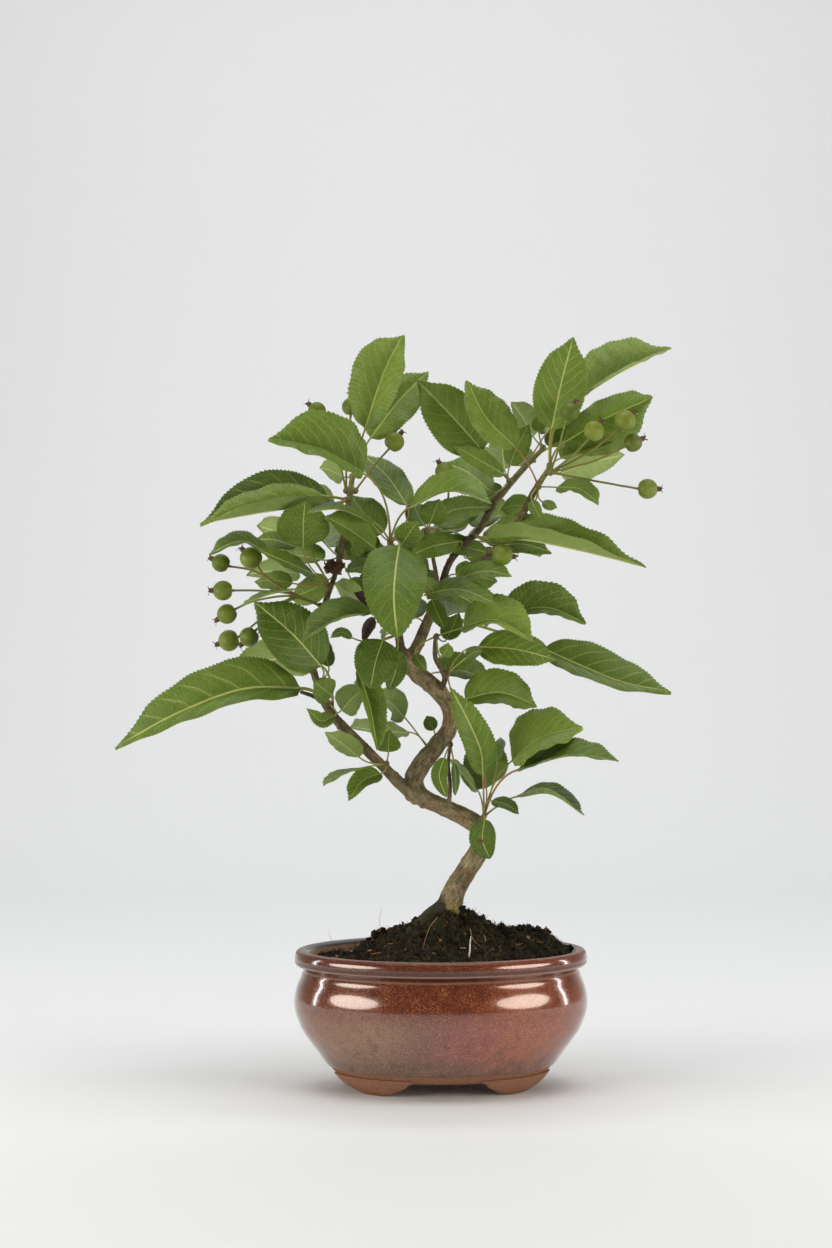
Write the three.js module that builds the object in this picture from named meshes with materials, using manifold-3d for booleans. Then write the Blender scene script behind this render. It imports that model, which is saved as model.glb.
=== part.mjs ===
// A crabapple bonsai in an oval glazed pot. Millimetres, +Z up, X to the right, Y towards the back.
//
// Every piece of the plant is laid out as someone standing in front of the pot sees it. A place is
// [across, up, behind]: how far right of the pot's middle and above the table it is seen, measured
// in the upright plane through the pot's middle, and how far behind that plane it really lies.
import * as THREE from "three";
import { mergeVertices } from "three/addons/utils/BufferGeometryUtils.js";
import Module from "manifold-3d";

const wasm = await Module();
wasm.setup();

// ---------------------------------------------------------------- driving dimensions
const GAP = 0.3; // clearance between touching pieces
const EYE = new THREE.Vector3(-13.8, -1440, 254.6); // where the onlooker's eye is

const POT_ROUND = 28; // facets round the pot and the soil
const POT_DEPTH = 0.78; // depth of the oval over its width
const POT_TURN = 4; // degrees, the left foot comes forward
const POT_HEIGHT = 75.6;
const FOOT_HEIGHT = 8;
const FLOOR_TOP = 14; // inside of the pot's floor
const DRAIN = { across: 30, radius: 6, mesh: 19, thick: 0.8, hole: 5, pitch: 3.6 };

const SOIL_EDGE = 71.5; // height of the soil against the wall
const SOIL_CROWN = 12.5; // how much higher it is in the middle
const SOIL_LEAN = 0.025; // how much it rises towards the right
const MOUND = { across: 4, height: 13, spread: 17 }; // the heap round the trunk's foot

const BLADE_THICK = 0.7;
const WIDEST = 0.44; // where along its rib a blade is widest
const PETIOLE = { half: 0.75, thick: 1.4, start: 1.15, bend: 0.75, lead: 0.35 }; // a leaf's stalk
const TOOTH = { out: 1.03, notch: 0.95, lean: 0.15 }; // the blade's edge, over its smooth width
const LEAF_KNOB = 2.65; // radius of the bud base that a cluster's leaf stalks share
const FRUIT_KNOB = 2.25;
const KNOB_SEAT = 1; // how far a knob's middle stands off the bark
const FRUIT_STALK = 0.6; // radius

// ---------------------------------------------------------------- finishes
const finish = (color, roughness) => new THREE.MeshStandardMaterial({ color, roughness });
const FINISHES = {
  glaze: finish(0x7a3d2a, 0.2),
  mesh: finish(0x2a2d2a, 0.7),
  earth: finish(0x2b2119, 0.95),
  bark: finish(0x6b5c43, 0.8),
  leaf: finish(0x55752f, 0.45),
  fruit: finish(0x7f9c3c, 0.4),
  withered: finish(0x4a3423, 0.9),
};

// ---------------------------------------------------------------- places
const place = ([across, up, behind]) => {
  const reach = (behind - EYE.y) / -EYE.y;
  return new THREE.Vector3(
    EYE.x + (across - EYE.x) * reach,
    behind,
    EYE.z + (up - EYE.z) * reach,
  );
};
const radians = THREE.MathUtils.degToRad;
const mix = THREE.MathUtils.lerp;

// A value that runs evenly through a list as t goes from 0 to 1.
const along = (list, t) => {
  const at = Math.min(t * (list.length - 1), list.length - 1 - 1e-9);
  const i = Math.floor(at);
  return mix(list[i], list[i + 1], at - i);
};

// ---------------------------------------------------------------- solids
function geometryOf(points, faces) {
  const geometry = new THREE.BufferGeometry();
  const flat = points.flatMap((p) => [p.x, p.y, p.z]);
  geometry.setAttribute("position", new THREE.Float32BufferAttribute(flat, 3));
  geometry.setIndex(faces.flat());
  return geometry;
}

function solidOf(geometry) {
  const bare = geometry.clone();
  bare.deleteAttribute("normal");
  bare.deleteAttribute("uv");
  const merged = mergeVertices(bare, 1e-4);
  return new wasm.Manifold(
    new wasm.Mesh({
      numProp: 3,
      vertProperties: merged.attributes.position.array,
      triVerts: new Uint32Array(merged.index.array),
    }),
  );
}

function geometryFrom(solid) {
  const mesh = solid.getMesh();
  const geometry = new THREE.BufferGeometry();
  geometry.setAttribute("position", new THREE.BufferAttribute(mesh.vertProperties, 3));
  geometry.setIndex(new THREE.BufferAttribute(mesh.triVerts, 1));
  return geometry;
}

const joined = (solids) => solids.reduce((all, one) => all.add(one));

// Rings of equal length, lofted into one closed body with flat ends.
function loft(rings) {
  const sides = rings[0].length;
  const faces = [];
  for (let r = 0; r + 1 < rings.length; r++) {
    for (let s = 0; s < sides; s++) {
      const a = r * sides + s;
      const b = r * sides + ((s + 1) % sides);
      faces.push([a, b, a + sides], [b, b + sides, a + sides]);
    }
  }
  const last = (rings.length - 1) * sides;
  for (let s = 1; s + 1 < sides; s++) {
    faces.push([0, s + 1, s], [last, last + s, last + s + 1]);
  }
  return solidOf(geometryOf(rings.flat(), faces));
}

// A closed tube through points, its radius running through a list, grown all round by swell.
function tube(points, radii, sides, steps, swell = 0) {
  const curve = new THREE.CatmullRomCurve3(points, false, "centripetal");
  const frames = curve.computeFrenetFrames(steps, false);
  const grow = swell / Math.cos(Math.PI / sides);
  const rings = [];
  for (let i = 0; i <= steps; i++) {
    const t = i / steps;
    const end = i === 0 ? -swell : i === steps ? swell : 0;
    const centre = curve.getPoint(t).addScaledVector(frames.tangents[i], end);
    const radius = along(radii, t) + grow;
    const ring = [];
    for (let s = 0; s < sides; s++) {
      const turn = (2 * Math.PI * s) / sides;
      ring.push(
        centre
          .clone()
          .addScaledVector(frames.normals[i], radius * Math.cos(turn))
          .addScaledVector(frames.binormals[i], radius * Math.sin(turn)),
      );
    }
    rings.push(ring);
  }
  return loft(rings);
}

// ---------------------------------------------------------------- pot
// Half the width of the pot against height: up the outside, over the lip and down the inside.
const POT_OUTSIDE = [
  [57, FOOT_HEIGHT],
  [61, 11],
  [62.6, 12.9],
  [67.5, 19.5],
  [73, 26.5],
  [78.6, 36.5],
  [81, 46.5],
  [79.4, 56],
  [76, 62],
  [77, 64],
  [80.3, 67],
  [80.8, 71.5],
  [79, 75],
];
const POT_INSIDE = [
  [75.5, POT_HEIGHT],
  [73, 73],
  [71.2, 66],
  [74.4, 52],
  [73.6, 38],
  [66, 25],
  [50, FLOOR_TOP],
];

const oval = (halfWidth, height, turn) =>
  new THREE.Vector3(
    halfWidth * Math.cos(turn),
    halfWidth * POT_DEPTH * Math.sin(turn),
    height,
  );
const ovalRing = (halfWidth, height) =>
  Array.from({ length: POT_ROUND }, (_, s) =>
    oval(halfWidth, height, (2 * Math.PI * s) / POT_ROUND),
  );

// The bracket-shaped way between two feet, seen along the way: cusped shoulders and a flat top.
const CUSP = { height: 4, in: 4.5, rise: 6 };
function footGap(halfWidth, length) {
  const shoulder = halfWidth - CUSP.in;
  const flat = shoulder - CUSP.rise;
  const outline = new THREE.Shape();
  outline.moveTo(halfWidth, -1);
  outline.lineTo(halfWidth, 0.5);
  outline.quadraticCurveTo(halfWidth - 0.5, CUSP.height, shoulder, CUSP.height);
  outline.quadraticCurveTo(shoulder - 1, FOOT_HEIGHT, flat, FOOT_HEIGHT);
  outline.lineTo(-flat, FOOT_HEIGHT);
  outline.quadraticCurveTo(1 - shoulder, FOOT_HEIGHT, -shoulder, CUSP.height);
  outline.quadraticCurveTo(0.5 - halfWidth, CUSP.height, -halfWidth, 0.5);
  outline.lineTo(-halfWidth, -1);
  const cut = new THREE.ExtrudeGeometry(outline, {
    depth: length,
    bevelEnabled: false,
    curveSegments: 2,
  });
  return cut.translate(0, 0, -length / 2).rotateX(Math.PI / 2);
}

// Half the width of the ring that the feet are cut from, against height.
const FEET_OUTSIDE = [
  [55, 0],
  [58, 4],
  [60.5, FOOT_HEIGHT + 1],
];
const FEET_INSIDE = [
  [37, -1],
  [40, FOOT_HEIGHT],
];
const FRONT_WAY = 32; // half the gap between the two front feet, and the two back feet
const SIDE_WAY = 20; // half the gap between the feet of one side

function makePot() {
  const lofted = (profile) => loft(profile.map(([w, h]) => ovalRing(w, h)));
  const reach = 2 * POT_OUTSIDE.at(-1)[0];
  const ways = [
    solidOf(footGap(FRONT_WAY, reach)),
    solidOf(footGap(SIDE_WAY, reach).rotateZ(Math.PI / 2)),
  ];
  const feet = lofted(FEET_OUTSIDE).subtract(lofted(FEET_INSIDE)).subtract(joined(ways));
  const drains = [-1, 1].map((side) =>
    solidOf(
      new THREE.CylinderGeometry(DRAIN.radius, DRAIN.radius, 2 * FLOOR_TOP, 12)
        .rotateX(Math.PI / 2)
        .translate(side * DRAIN.across, 0, FLOOR_TOP),
    ),
  );
  return lofted([...POT_OUTSIDE, ...POT_INSIDE]).add(feet).subtract(joined(drains));
}

// A square of plastic mesh that lies over a drain hole.
function makeDrainMesh(side) {
  const sheet = solidOf(new THREE.BoxGeometry(DRAIN.mesh, DRAIN.mesh, DRAIN.thick));
  const eye = new THREE.BoxGeometry(DRAIN.hole, DRAIN.hole, 2 * DRAIN.thick);
  const holes = [-1, 1].flatMap((i) =>
    [-1, 1].map((j) => solidOf(eye.clone().translate(i * DRAIN.pitch, j * DRAIN.pitch, 0))),
  );
  const height = FLOOR_TOP + GAP + DRAIN.thick / 2;
  return sheet.subtract(joined(holes)).translate([side * DRAIN.across, 0, height]);
}

// ---------------------------------------------------------------- soil
// Height of the soil: a shallow crown, a heap at the trunk's foot and uneven crumbs.
function soilHeight(x, y, rho) {
  const heap = Math.hypot(x - MOUND.across, y * 1.1) / MOUND.spread;
  const crumbs =
    Math.sin(x * 0.31 + 1) * Math.sin(y * 0.37) + 0.6 * Math.sin(x * 0.83 - y * 0.57 + 2);
  return (
    SOIL_EDGE +
    SOIL_CROWN * (1 - rho ** 3) +
    SOIL_LEAN * x +
    MOUND.height * Math.exp(-heap * heap) +
    crumbs * Math.min(1, 3 * (1 - rho) + 0.2)
  );
}

function makeSoil(wood) {
  const walls = POT_INSIDE.slice(2)
    .reverse()
    .map(([w, h]) => ovalRing(w - GAP - 0.1, h + (h === FLOOR_TOP ? GAP : 0)));
  const rim = POT_INSIDE[2][0] - GAP;
  const tops = [1, 0.86, 0.64, 0.42, 0.24, 0.1].map((rho) =>
    ovalRing(rim * rho, 0).map((p) => p.setZ(soilHeight(p.x, p.y, rho))),
  );
  const overMesh = [-1, 1].map((side) => {
    const size = DRAIN.mesh + 2 * GAP;
    const tall = DRAIN.thick + 2 * GAP;
    const pocket = new THREE.BoxGeometry(size, size, tall);
    return solidOf(pocket.translate(side * DRAIN.across, 0, FLOOR_TOP + tall / 2));
  });
  return loft([...walls, ...tops]).subtract(joined(overMesh)).subtract(wood);
}

// ---------------------------------------------------------------- wood
// A limb: places along its middle, the radius at each place, facets round it.
const LIMBS = {
  trunk: {
    path: [
      [1, 74, 0], [3, 92, 0], [7, 106, 0], [15, 120, -1], [21.5, 131, -2], [23.5, 138, -3],
      [20, 143.5, -3], [13, 148, -2], [5, 152, -1], [-6, 157, 0], [-14, 161, 0],
    ],
    radii: [9, 8, 6.3, 5.7, 5.6, 5.8, 5.4, 5, 4.6, 4.8, 5.2],
    sides: 8,
    steps: 14,
  },
  leader: {
    path: [
      [-11, 157, 0], [-15, 168, 1], [-12, 175, 2], [-3, 187, 4], [4.5, 197, 5], [5, 207, 4],
      [-2, 218, 1], [-13, 227, -2], [-20, 236, -4],
    ],
    radii: [5.2, 5.4, 5.2, 5, 4.5, 4.5, 4.7, 4.8, 4.6],
    sides: 8,
    steps: 12,
  },
  leftLimb: {
    path: [[-19, 233, -4], [-22, 241, -3], [-25, 268, 0], [-28, 299, 0]],
    radii: [3.6, 2.6, 2.2, 1.8],
    sides: 6,
    steps: 5,
  },
  rightLimb: {
    path: [[-19, 233, -4], [-14, 241, -2], [-6, 259, 2], [0, 273, 6]],
    radii: [4.2, 3.3, 2.8, 2.5],
    sides: 6,
    steps: 4,
  },
  farShoot: {
    path: [[-1, 270, 5], [5, 289, 9], [22, 308, 14], [28, 319, 16], [46, 341, 24], [56, 351, 28]],
    radii: [2.3, 1.9, 2, 2.1, 1.7, 1.4],
    sides: 6,
    steps: 9,
  },
  nearShoot: {
    path: [[-1, 271, 6], [10, 280, 2], [34, 300, -3], [47, 319, -7], [51, 327, -10], [60, 341, -13]],
    radii: [2.2, 1.8, 1.8, 2, 1.9, 1.4],
    sides: 6,
    steps: 9,
  },
  leftBranch: {
    path: [
      [-12, 158, 0], [-25, 169, -4], [-31, 175, -7], [-50, 194, -14], [-61, 206, -18],
      [-68, 221, -20], [-71, 236, -16], [-67, 256, -9], [-57, 287, 0], [-53, 308, 5],
      [-49, 335, 9],
    ],
    radii: [4.4, 3.1, 2.9, 2.9, 2.7, 2.1, 1.8, 1.6, 1.6, 1.8, 1.6],
    sides: 6,
    steps: 16,
  },
  brokenStub: {
    path: [[-64, 212, -19], [-71, 215, -19], [-77, 217, -18]],
    radii: [1.7, 1.3, 1.1],
    sides: 5,
    steps: 2,
  },
  middleTwig: {
    path: [[-1, 217, 0], [2, 225, -7], [-3, 236, -11], [-3, 247, -13]],
    radii: [1.8, 1.5, 1.4, 1.2],
    sides: 5,
    steps: 5,
  },
  lowTwig: {
    path: [[4, 153, -1], [5, 165, -7], [4, 178, -9], [5, 187, -9]],
    radii: [1.4, 1.2, 1.1, 1],
    sides: 5,
    steps: 4,
  },
  innerTwig: {
    path: [[-1, 269, 5], [-4, 289, 1], [-8, 305, -3]],
    radii: [1.6, 1.3, 1.2],
    sides: 5,
    steps: 3,
  },
  rootLeft: {
    path: [[2, 96, 0], [-8, 93, -6], [-20, 84, -12], [-30, 74, -16]],
    radii: [4.5, 2.6, 1.9, 1.2],
    sides: 5,
    steps: 4,
  },
};

// ---------------------------------------------------------------- leaf clusters
// A cluster grows from a knob on a limb's skin, near the given place. A blade has a rib, half
// its width, how it is turned about the rib and how far its halves fold up, in degrees:
// turned 0 its upper face looks at the onlooker, 90 at the sky, 180 its underside is seen.
// A second turn is the one at the tip.
const CLUSTERS = {
  low_right: {
    on: "trunk",
    knob: [26, 151, -7],
    blades: [
      {
        rib: [[23, 171, -11], [22, 184, -14], [14, 201, -20], [4, 220, -24]],
        half: 11, turn: [10, 5], fold: 24,
      },
      { rib: [[25, 164, 4], [23, 178, 16], [19, 193, 34]], half: 14, turn: [165], fold: 10 },
      { rib: [[20, 163, 0], [13, 171, 14], [5, 180, 34]], half: 6, turn: [120], fold: 10 },
      { rib: [[31, 179, 6], [31, 185, 20], [33, 192, 34]], half: 5, turn: [30], fold: 10 },
      { rib: [[39, 180, -4], [54, 191, -10], [78, 198, -12]], half: 22, turn: [42, 36], fold: 29 },
      { rib: [[42, 174, -13], [71, 182, -28], [98, 179, -40]], half: 15, turn: [70], fold: 20 },
      { rib: [[44, 160, -10], [57, 165.5, -26], [79, 149, -46]], half: 11, turn: [80], fold: 28 },
      { rib: [[28, 157, -13], [36, 155, -18], [43, 150, -22]], half: 5, turn: [45], fold: 15 },
      { rib: [[24, 147, -13], [23, 135, -19], [27, 125, -18]], half: 7.4, turn: [0], fold: 12 },
    ],
  },
  low_inner: {
    on: "lowTwig",
    knob: [5, 189, -9],
    blades: [
      { rib: [[2, 181, -14], [-1, 171, -17], [3, 159, -16]], half: 4.6, turn: [0], fold: 10 },
      { rib: [[7, 178, -12], [8, 169, -12], [8, 160, -10]], half: 3.4, turn: [50], fold: 10 },
    ],
  },
  left_low: {
    on: "leftBranch",
    knob: [-29, 178, -12],
    blades: [
      { rib: [[-44, 175, -20], [-54, 172, -38], [-65, 166, -52]], half: 10, turn: [86], fold: 12 },
      { rib: [[-33, 172, -15], [-43, 168, -22], [-51, 157, -28]], half: 7, turn: [35], fold: 20 },
      { rib: [[-29, 184, -12], [-29, 190, -18], [-28, 196, -28]], half: 7, turn: [0], fold: 15 },
      { rib: [[-45, 181, -20], [-53, 188, -26], [-64, 195, -30]], half: 7.5, turn: [140], fold: 10 },
    ],
  },
  trunk_back: {
    on: "leader",
    knob: [-8, 186, 13],
    blades: [
      { rib: [[-20, 203, 20], [-27, 211, 32], [-34, 213, 48]], half: 9, turn: [150], fold: 10 },
      { rib: [[-18, 195, 20], [-34, 196, 30], [-50, 198, 48]], half: 11, turn: [115], fold: 8 },
      { rib: [[-4, 196, 14], [-6, 200, 14], [-8, 204, 14]], half: 4, turn: [0], fold: 10 },
    ],
  },
  left_elbow: {
    on: "leftBranch",
    knob: [-61, 211, -24],
    blades: [
      {
        rib: [[-77, 219, -24], [-96, 223, -28], [-125, 212, -32], [-180, 186, -26]],
        half: 21, turn: [40, 52], fold: 30,
      },
      { rib: [[-60, 215, -30], [-64, 218, -36], [-70, 223, -40]], half: 7.5, turn: [5], fold: 8 },
      { rib: [[-59, 204, -29], [-66, 201, -34], [-74, 208, -38]], half: 5, turn: [20], fold: 30 },
    ],
  },
  elbow_back: {
    on: "leftBranch",
    knob: [-59, 208, -10],
    blades: [
      { rib: [[-70, 233, 2], [-93, 235, 18], [-118, 223, 36]], half: 13, turn: [150], fold: 18 },
      { rib: [[-55, 207, -2], [-50, 213, 8], [-42, 219, 22]], half: 8.5, turn: [168], fold: 12 },
    ],
  },
  middle_top: {
    on: "middleTwig",
    knob: [-2, 249, -14],
    blades: [
      { rib: [[12, 253, -17], [30, 255.5, -28], [51, 245, -38]], half: 14.5, turn: [38], fold: 38 },
      { rib: [[3, 246, -8], [6, 252, -4], [10, 261, 0]], half: 6, turn: [20], fold: 10 },
      { rib: [[1, 237, -18], [3, 240, -20], [4, 244, -24]], half: 4, turn: [0], fold: 10 },
      { rib: [[-14, 238, -14], [-12, 234, -18], [-8, 229, -20]], half: 3.5, turn: [10], fold: 10 },
    ],
  },
  middle_low: {
    on: "middleTwig",
    knob: [5, 227, -11],
    blades: [
      { rib: [[20, 241, -10], [41, 238.5, -16], [63, 234, -22]], half: 10, turn: [34], fold: 8 },
      { rib: [[13, 213, -2], [33, 216.5, 6], [53, 209, 12]], half: 14.5, turn: [34], fold: 28 },
      { rib: [[14, 236, -18], [18, 239, -20], [23, 240, -22]], half: 3.4, turn: [0], fold: 10 },
    ],
  },
  middle_back: {
    on: "rightLimb",
    knob: [1, 257, 8],
    blades: [
      {
        rib: [[44, 246, 12], [66, 235, 10], [96, 226, 2], [127, 217, -10]],
        half: 16, turn: [44, 60], fold: 26,
      },
      { rib: [[33, 258, 13], [57, 263.5, 14], [80, 255, 14]], half: 16, turn: [44], fold: 38 },
    ],
  },
  crown_heart: {
    on: "rightLimb",
    knob: [-1, 270, -1],
    blades: [
      { rib: [[-8, 271, -8], [10, 273.5, -20], [31, 265, -38]], half: 11, turn: [58], fold: 16 },
      { rib: [[-3, 272, -8], [-7, 276, -12], [-12, 281, -18]], half: 5, turn: [160], fold: 8 },
      { rib: [[-5, 268, -8], [-2, 260, -14], [2, 252, -18]], half: 5, turn: [20], fold: 12 },
      { rib: [[8, 279, -6], [23, 283.5, -14], [39, 281, -30]], half: 8, turn: [52], fold: 12 },
    ],
  },
  far_low: {
    on: "farShoot",
    knob: [6, 293, 4],
    blades: [
      { rib: [[10, 300, -1], [-4, 297.5, -6], [-18, 292, -9]], half: 7.5, turn: [25], fold: 12 },
    ],
  },
  left_limb_end: {
    on: "leftLimb",
    knob: [-28, 302, -1],
    blades: [
      { rib: [[-41, 335, -12], [-64, 348, -22], [-95, 356, -30]], half: 21, turn: [45], fold: 42 },
      { rib: [[-38, 311, -10], [-56, 318, -30], [-74, 316, -50]], half: 10, turn: [88], fold: 16 },
      { rib: [[-17, 319, -9], [5, 328, -28], [28, 321, -44]], half: 13, turn: [60], fold: 28 },
      {
        rib: [[-25, 294, -18], [-28, 282, -32], [-30, 265, -42], [-28, 245, -44]],
        half: 17.5, turn: [0], fold: 15,
      },
      { rib: [[-36, 296, -8], [-50, 306, -14], [-64, 314, -24]], half: 11, turn: [45], fold: 18 },
      { rib: [[-34, 287, -9], [-43, 286, -14], [-53, 284, -18]], half: 8, turn: [55], fold: 12 },
      { rib: [[-21, 294, 7], [-14, 287, 10], [-8, 279, 13]], half: 8, turn: [20], fold: 10 },
      { rib: [[-22, 298, -9], [-18, 304, -16], [-13, 311, -24]], half: 7.5, turn: [0], fold: 10 },
      { rib: [[-19, 320, 6], [-29, 335, 18], [-44, 349, 32]], half: 11, turn: [40], fold: 8 },
    ],
  },
  inner_top: {
    on: "innerTwig",
    knob: [-8, 308, -4],
    blades: [
      { rib: [[-6, 310, -8], [-4, 316, -12], [-1, 323, -18]], half: 8, turn: [0], fold: 10 },
      { rib: [[-5, 312, -3], [10, 318, 2], [28, 319, 4]], half: 9, turn: [42], fold: 12 },
    ],
  },
  far_middle: {
    on: "farShoot",
    knob: [37, 336, 14],
    blades: [
      { rib: [[33, 338, 18], [22, 348, 34], [6, 353, 50]], half: 8, turn: [50], fold: 10 },
      { rib: [[27, 328, 12], [15, 338, 22], [0, 344, 36]], half: 10, turn: [35], fold: 10 },
      { rib: [[35, 340, 22], [34, 349, 36], [33, 361, 50]], half: 8.5, turn: [5], fold: 14 },
      { rib: [[38, 342, 6], [42, 353, 4], [49, 365, 2]], half: 7.5, turn: [-20], fold: 16 },
      { rib: [[23, 350, 12], [8, 367, 6], [-13, 389, -4]], half: 16, turn: [8, 0], fold: 14 },
    ],
  },
  far_tip: {
    on: "farShoot",
    knob: [57, 355, 29],
    blades: [
      { rib: [[54, 361, 26], [54, 365, 24], [57, 371, 24]], half: 4, turn: [0], fold: 10 },
      { rib: [[51, 358, 32], [46, 367, 42], [39, 377, 54]], half: 9, turn: [155], fold: 8 },
    ],
  },
  near_middle: {
    on: "nearShoot",
    knob: [54, 330, -15],
    blades: [
      { rib: [[41, 352, -10], [25, 368, -12], [14, 389, -12]], half: 17, turn: [42], fold: 36 },
      { rib: [[64, 330, -20], [76, 329, -30], [87, 321, -44]], half: 8.5, turn: [55], fold: 18 },
      { rib: [[56, 322, -18], [60, 320, -20], [64, 319, -22]], half: 3, turn: [20], fold: 8 },
      { rib: [[50, 323, -19], [52, 318, -22], [55, 313, -23]], half: 3.4, turn: [0], fold: 8 },
    ],
  },
  near_tip: {
    on: "nearShoot",
    knob: [60, 346, -14],
    blades: [
      { rib: [[61, 362, -20], [66, 386, -24], [73, 413, -24]], half: 14.5, turn: [0], fold: 15 },
      { rib: [[74, 378, -8], [98, 393, -8], [127, 407, -4]], half: 21, turn: [46], fold: 42 },
      { rib: [[68, 355, -10], [90, 368, -4], [117, 380, 4]], half: 20, turn: [-26], fold: 36 },
      { rib: [[66, 346, -14], [80, 351, -8], [97, 357, 6]], half: 12, turn: [60], fold: 26 },
      { rib: [[66, 338, -10], [83, 344, 4], [101, 348, 22]], half: 10, turn: [160], fold: 10 },
    ],
  },
  near_low: {
    on: "farShoot",
    knob: [20, 303, 8],
    blades: [
      {
        rib: [[25, 302, 0], [46, 301.5, -12], [74, 296, -24], [113, 286, -34]],
        half: 17.5, turn: [80, 64], fold: 46,
      },
      { rib: [[32, 298, 8], [46, 298.5, 2], [61, 294, -2]], half: 7, turn: [40], fold: 10 },
    ],
  },
  left_top: {
    on: "leftBranch",
    knob: [-49, 340, 9],
    blades: [
      { rib: [[-42, 362, 2], [-31, 394, -4], [-21, 414, -12]], half: 19, turn: [32], fold: 32 },
      { rib: [[-39, 357, 10], [-23, 378, 16], [-7, 394, 22]], half: 13, turn: [20], fold: 14 },
      { rib: [[-54, 336, 18], [-60, 339, 30], [-67, 341, 42]], half: 6.5, turn: [150], fold: 8 },
    ],
  },
  left_shoulder: {
    on: "leftBranch",
    knob: [-54, 324, 2],
    blades: [
      { rib: [[-60, 322, -5], [-92, 320, -22], [-133, 310, -34]], half: 20, turn: [78], fold: 50 },
      { rib: [[-59, 320, 8], [-63, 326, 16], [-69, 331, 24]], half: 5, turn: [120], fold: 8 },
    ],
  },
  left_heart: {
    on: "leftBranch",
    knob: [-63, 278, -9],
    blades: [
      { rib: [[-76, 297, -14], [-76, 309, -20], [-75, 323, -28]], half: 14.5, turn: [0], fold: 8 },
      { rib: [[-78, 299, -2], [-89, 305, 12], [-101, 309, 32]], half: 9, turn: [150], fold: 10 },
      { rib: [[-93, 292, -16], [-110, 300, -30], [-128, 293, -44]], half: 9, turn: [64], fold: 20 },
      { rib: [[-70, 282, -17], [-84, 288, -32], [-100, 295, -54]], half: 9, turn: [62], fold: 12 },
      { rib: [[-80, 297, -8], [-92, 301, 0], [-104, 301, 10]], half: 6, turn: [35], fold: 10 },
      { rib: [[-82, 277, -9], [-92, 278.5, -6], [-103, 278, 0]], half: 7, turn: [40], fold: 12 },
      { rib: [[-78, 283, -3], [-91, 284, 12], [-107, 282, 28]], half: 8, turn: [140], fold: 10 },
      { rib: [[-80, 274, -24], [-95, 271, -40], [-110, 265, -56]], half: 9, turn: [84], fold: 10 },
    ],
  },
  left_lower: {
    on: "leftBranch",
    knob: [-64, 224, -23],
    blades: [
      { rib: [[-66, 231, -27], [-81, 248, -32], [-103, 267, -30]], half: 16.5, turn: [14], fold: 10 },
      { rib: [[-62, 231, -20], [-65, 240, -14], [-67, 252, -6]], half: 6, turn: [35], fold: 12 },
    ],
  },
  inner_left: {
    on: "leftLimb",
    knob: [-26, 249, -10],
    blades: [
      { rib: [[-38, 261, -24], [-57, 257, -38], [-76, 246, -50]], half: 13, turn: [56], fold: 34 },
      { rib: [[-42, 265, -10], [-50, 271, -2], [-59, 277, 8]], half: 8.5, turn: [140], fold: 8 },
      { rib: [[-49, 247, -22], [-55, 250, -24], [-61, 247, -26]], half: 3, turn: [30], fold: 8 },
      { rib: [[-32, 246, -19], [-36, 234, -28], [-39, 219, -34]], half: 12.5, turn: [0], fold: 15 },
      { rib: [[-46, 229, -20], [-40, 211, -26], [-35, 185, -34]], half: 10, turn: [38], fold: 38 },
      { rib: [[-24, 240, -16], [-25, 229, -16], [-29, 218, -18]], half: 6, turn: [10], fold: 12 },
    ],
  },
  back_heart: {
    on: "leftLimb",
    knob: [-26, 273, 9],
    blades: [
      { rib: [[-30, 276, 26], [-34, 274, 52], [-36, 264, 80]], half: 16, turn: [70], fold: 16 },
      { rib: [[-24, 280, 22], [-21, 288, 42], [-18, 288, 68]], half: 14, turn: [50], fold: 16 },
    ],
  },
  back_left: {
    on: "leftBranch",
    knob: [-57, 291, 9],
    blades: [
      { rib: [[-62, 297, 24], [-68, 305, 46], [-74, 306, 74]], half: 15, turn: [60], fold: 16 },
      { rib: [[-66, 290, 20], [-80, 292, 34], [-96, 290, 56]], half: 13, turn: [60], fold: 14 },
      { rib: [[-50, 291, 20], [-44, 296, 40], [-40, 292, 66]], half: 14, turn: [60], fold: 14 },
      { rib: [[-52, 293, 6], [-46, 299, 4], [-39, 305, 3]], half: 6.5, turn: [20], fold: 10 },
    ],
  },
  back_right: {
    on: "farShoot",
    knob: [13, 302, 19],
    blades: [
      { rib: [[20, 308, 32], [32, 314, 52], [44, 308, 78]], half: 15, turn: [60], fold: 16 },
      { rib: [[8, 305, 30], [0, 308, 52], [-4, 304, 78]], half: 14, turn: [60], fold: 16 },
      { rib: [[24, 300, 24], [40, 300, 36], [58, 294, 54]], half: 13, turn: [60], fold: 14 },
      { rib: [[14, 291, 26], [20, 292, 38], [28, 297, 50]], half: 9, turn: [30], fold: 10 },
    ],
  },
  back_middle: {
    on: "rightLimb",
    knob: [-9, 253, 8],
    blades: [
      { rib: [[0, 258, 24], [12, 262, 46], [22, 257, 74]], half: 16, turn: [66], fold: 16 },
      { rib: [[-14, 258, 22], [-22, 258, 44], [-34, 250, 66]], half: 15, turn: [60], fold: 16 },
    ],
  },
  back_low: {
    on: "leader",
    knob: [-11, 226, 10],
    blades: [
      { rib: [[-22, 230, 22], [-36, 230, 40], [-48, 222, 60]], half: 14, turn: [60], fold: 16 },
      { rib: [[0, 228, 22], [14, 228, 40], [30, 220, 58]], half: 14, turn: [55], fold: 16 },
    ],
  },
  back_top: {
    on: "farShoot",
    knob: [47, 346, 32],
    blades: [
      { rib: [[58, 360, 42], [66, 372, 60], [70, 378, 84]], half: 15, turn: [50], fold: 16 },
      { rib: [[60, 352, 42], [78, 362, 58], [98, 364, 78]], half: 15, turn: [60], fold: 16 },
      { rib: [[44, 342, 44], [38, 344, 62], [28, 338, 84]], half: 14, turn: [66], fold: 16 },
    ],
  },
};

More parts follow.
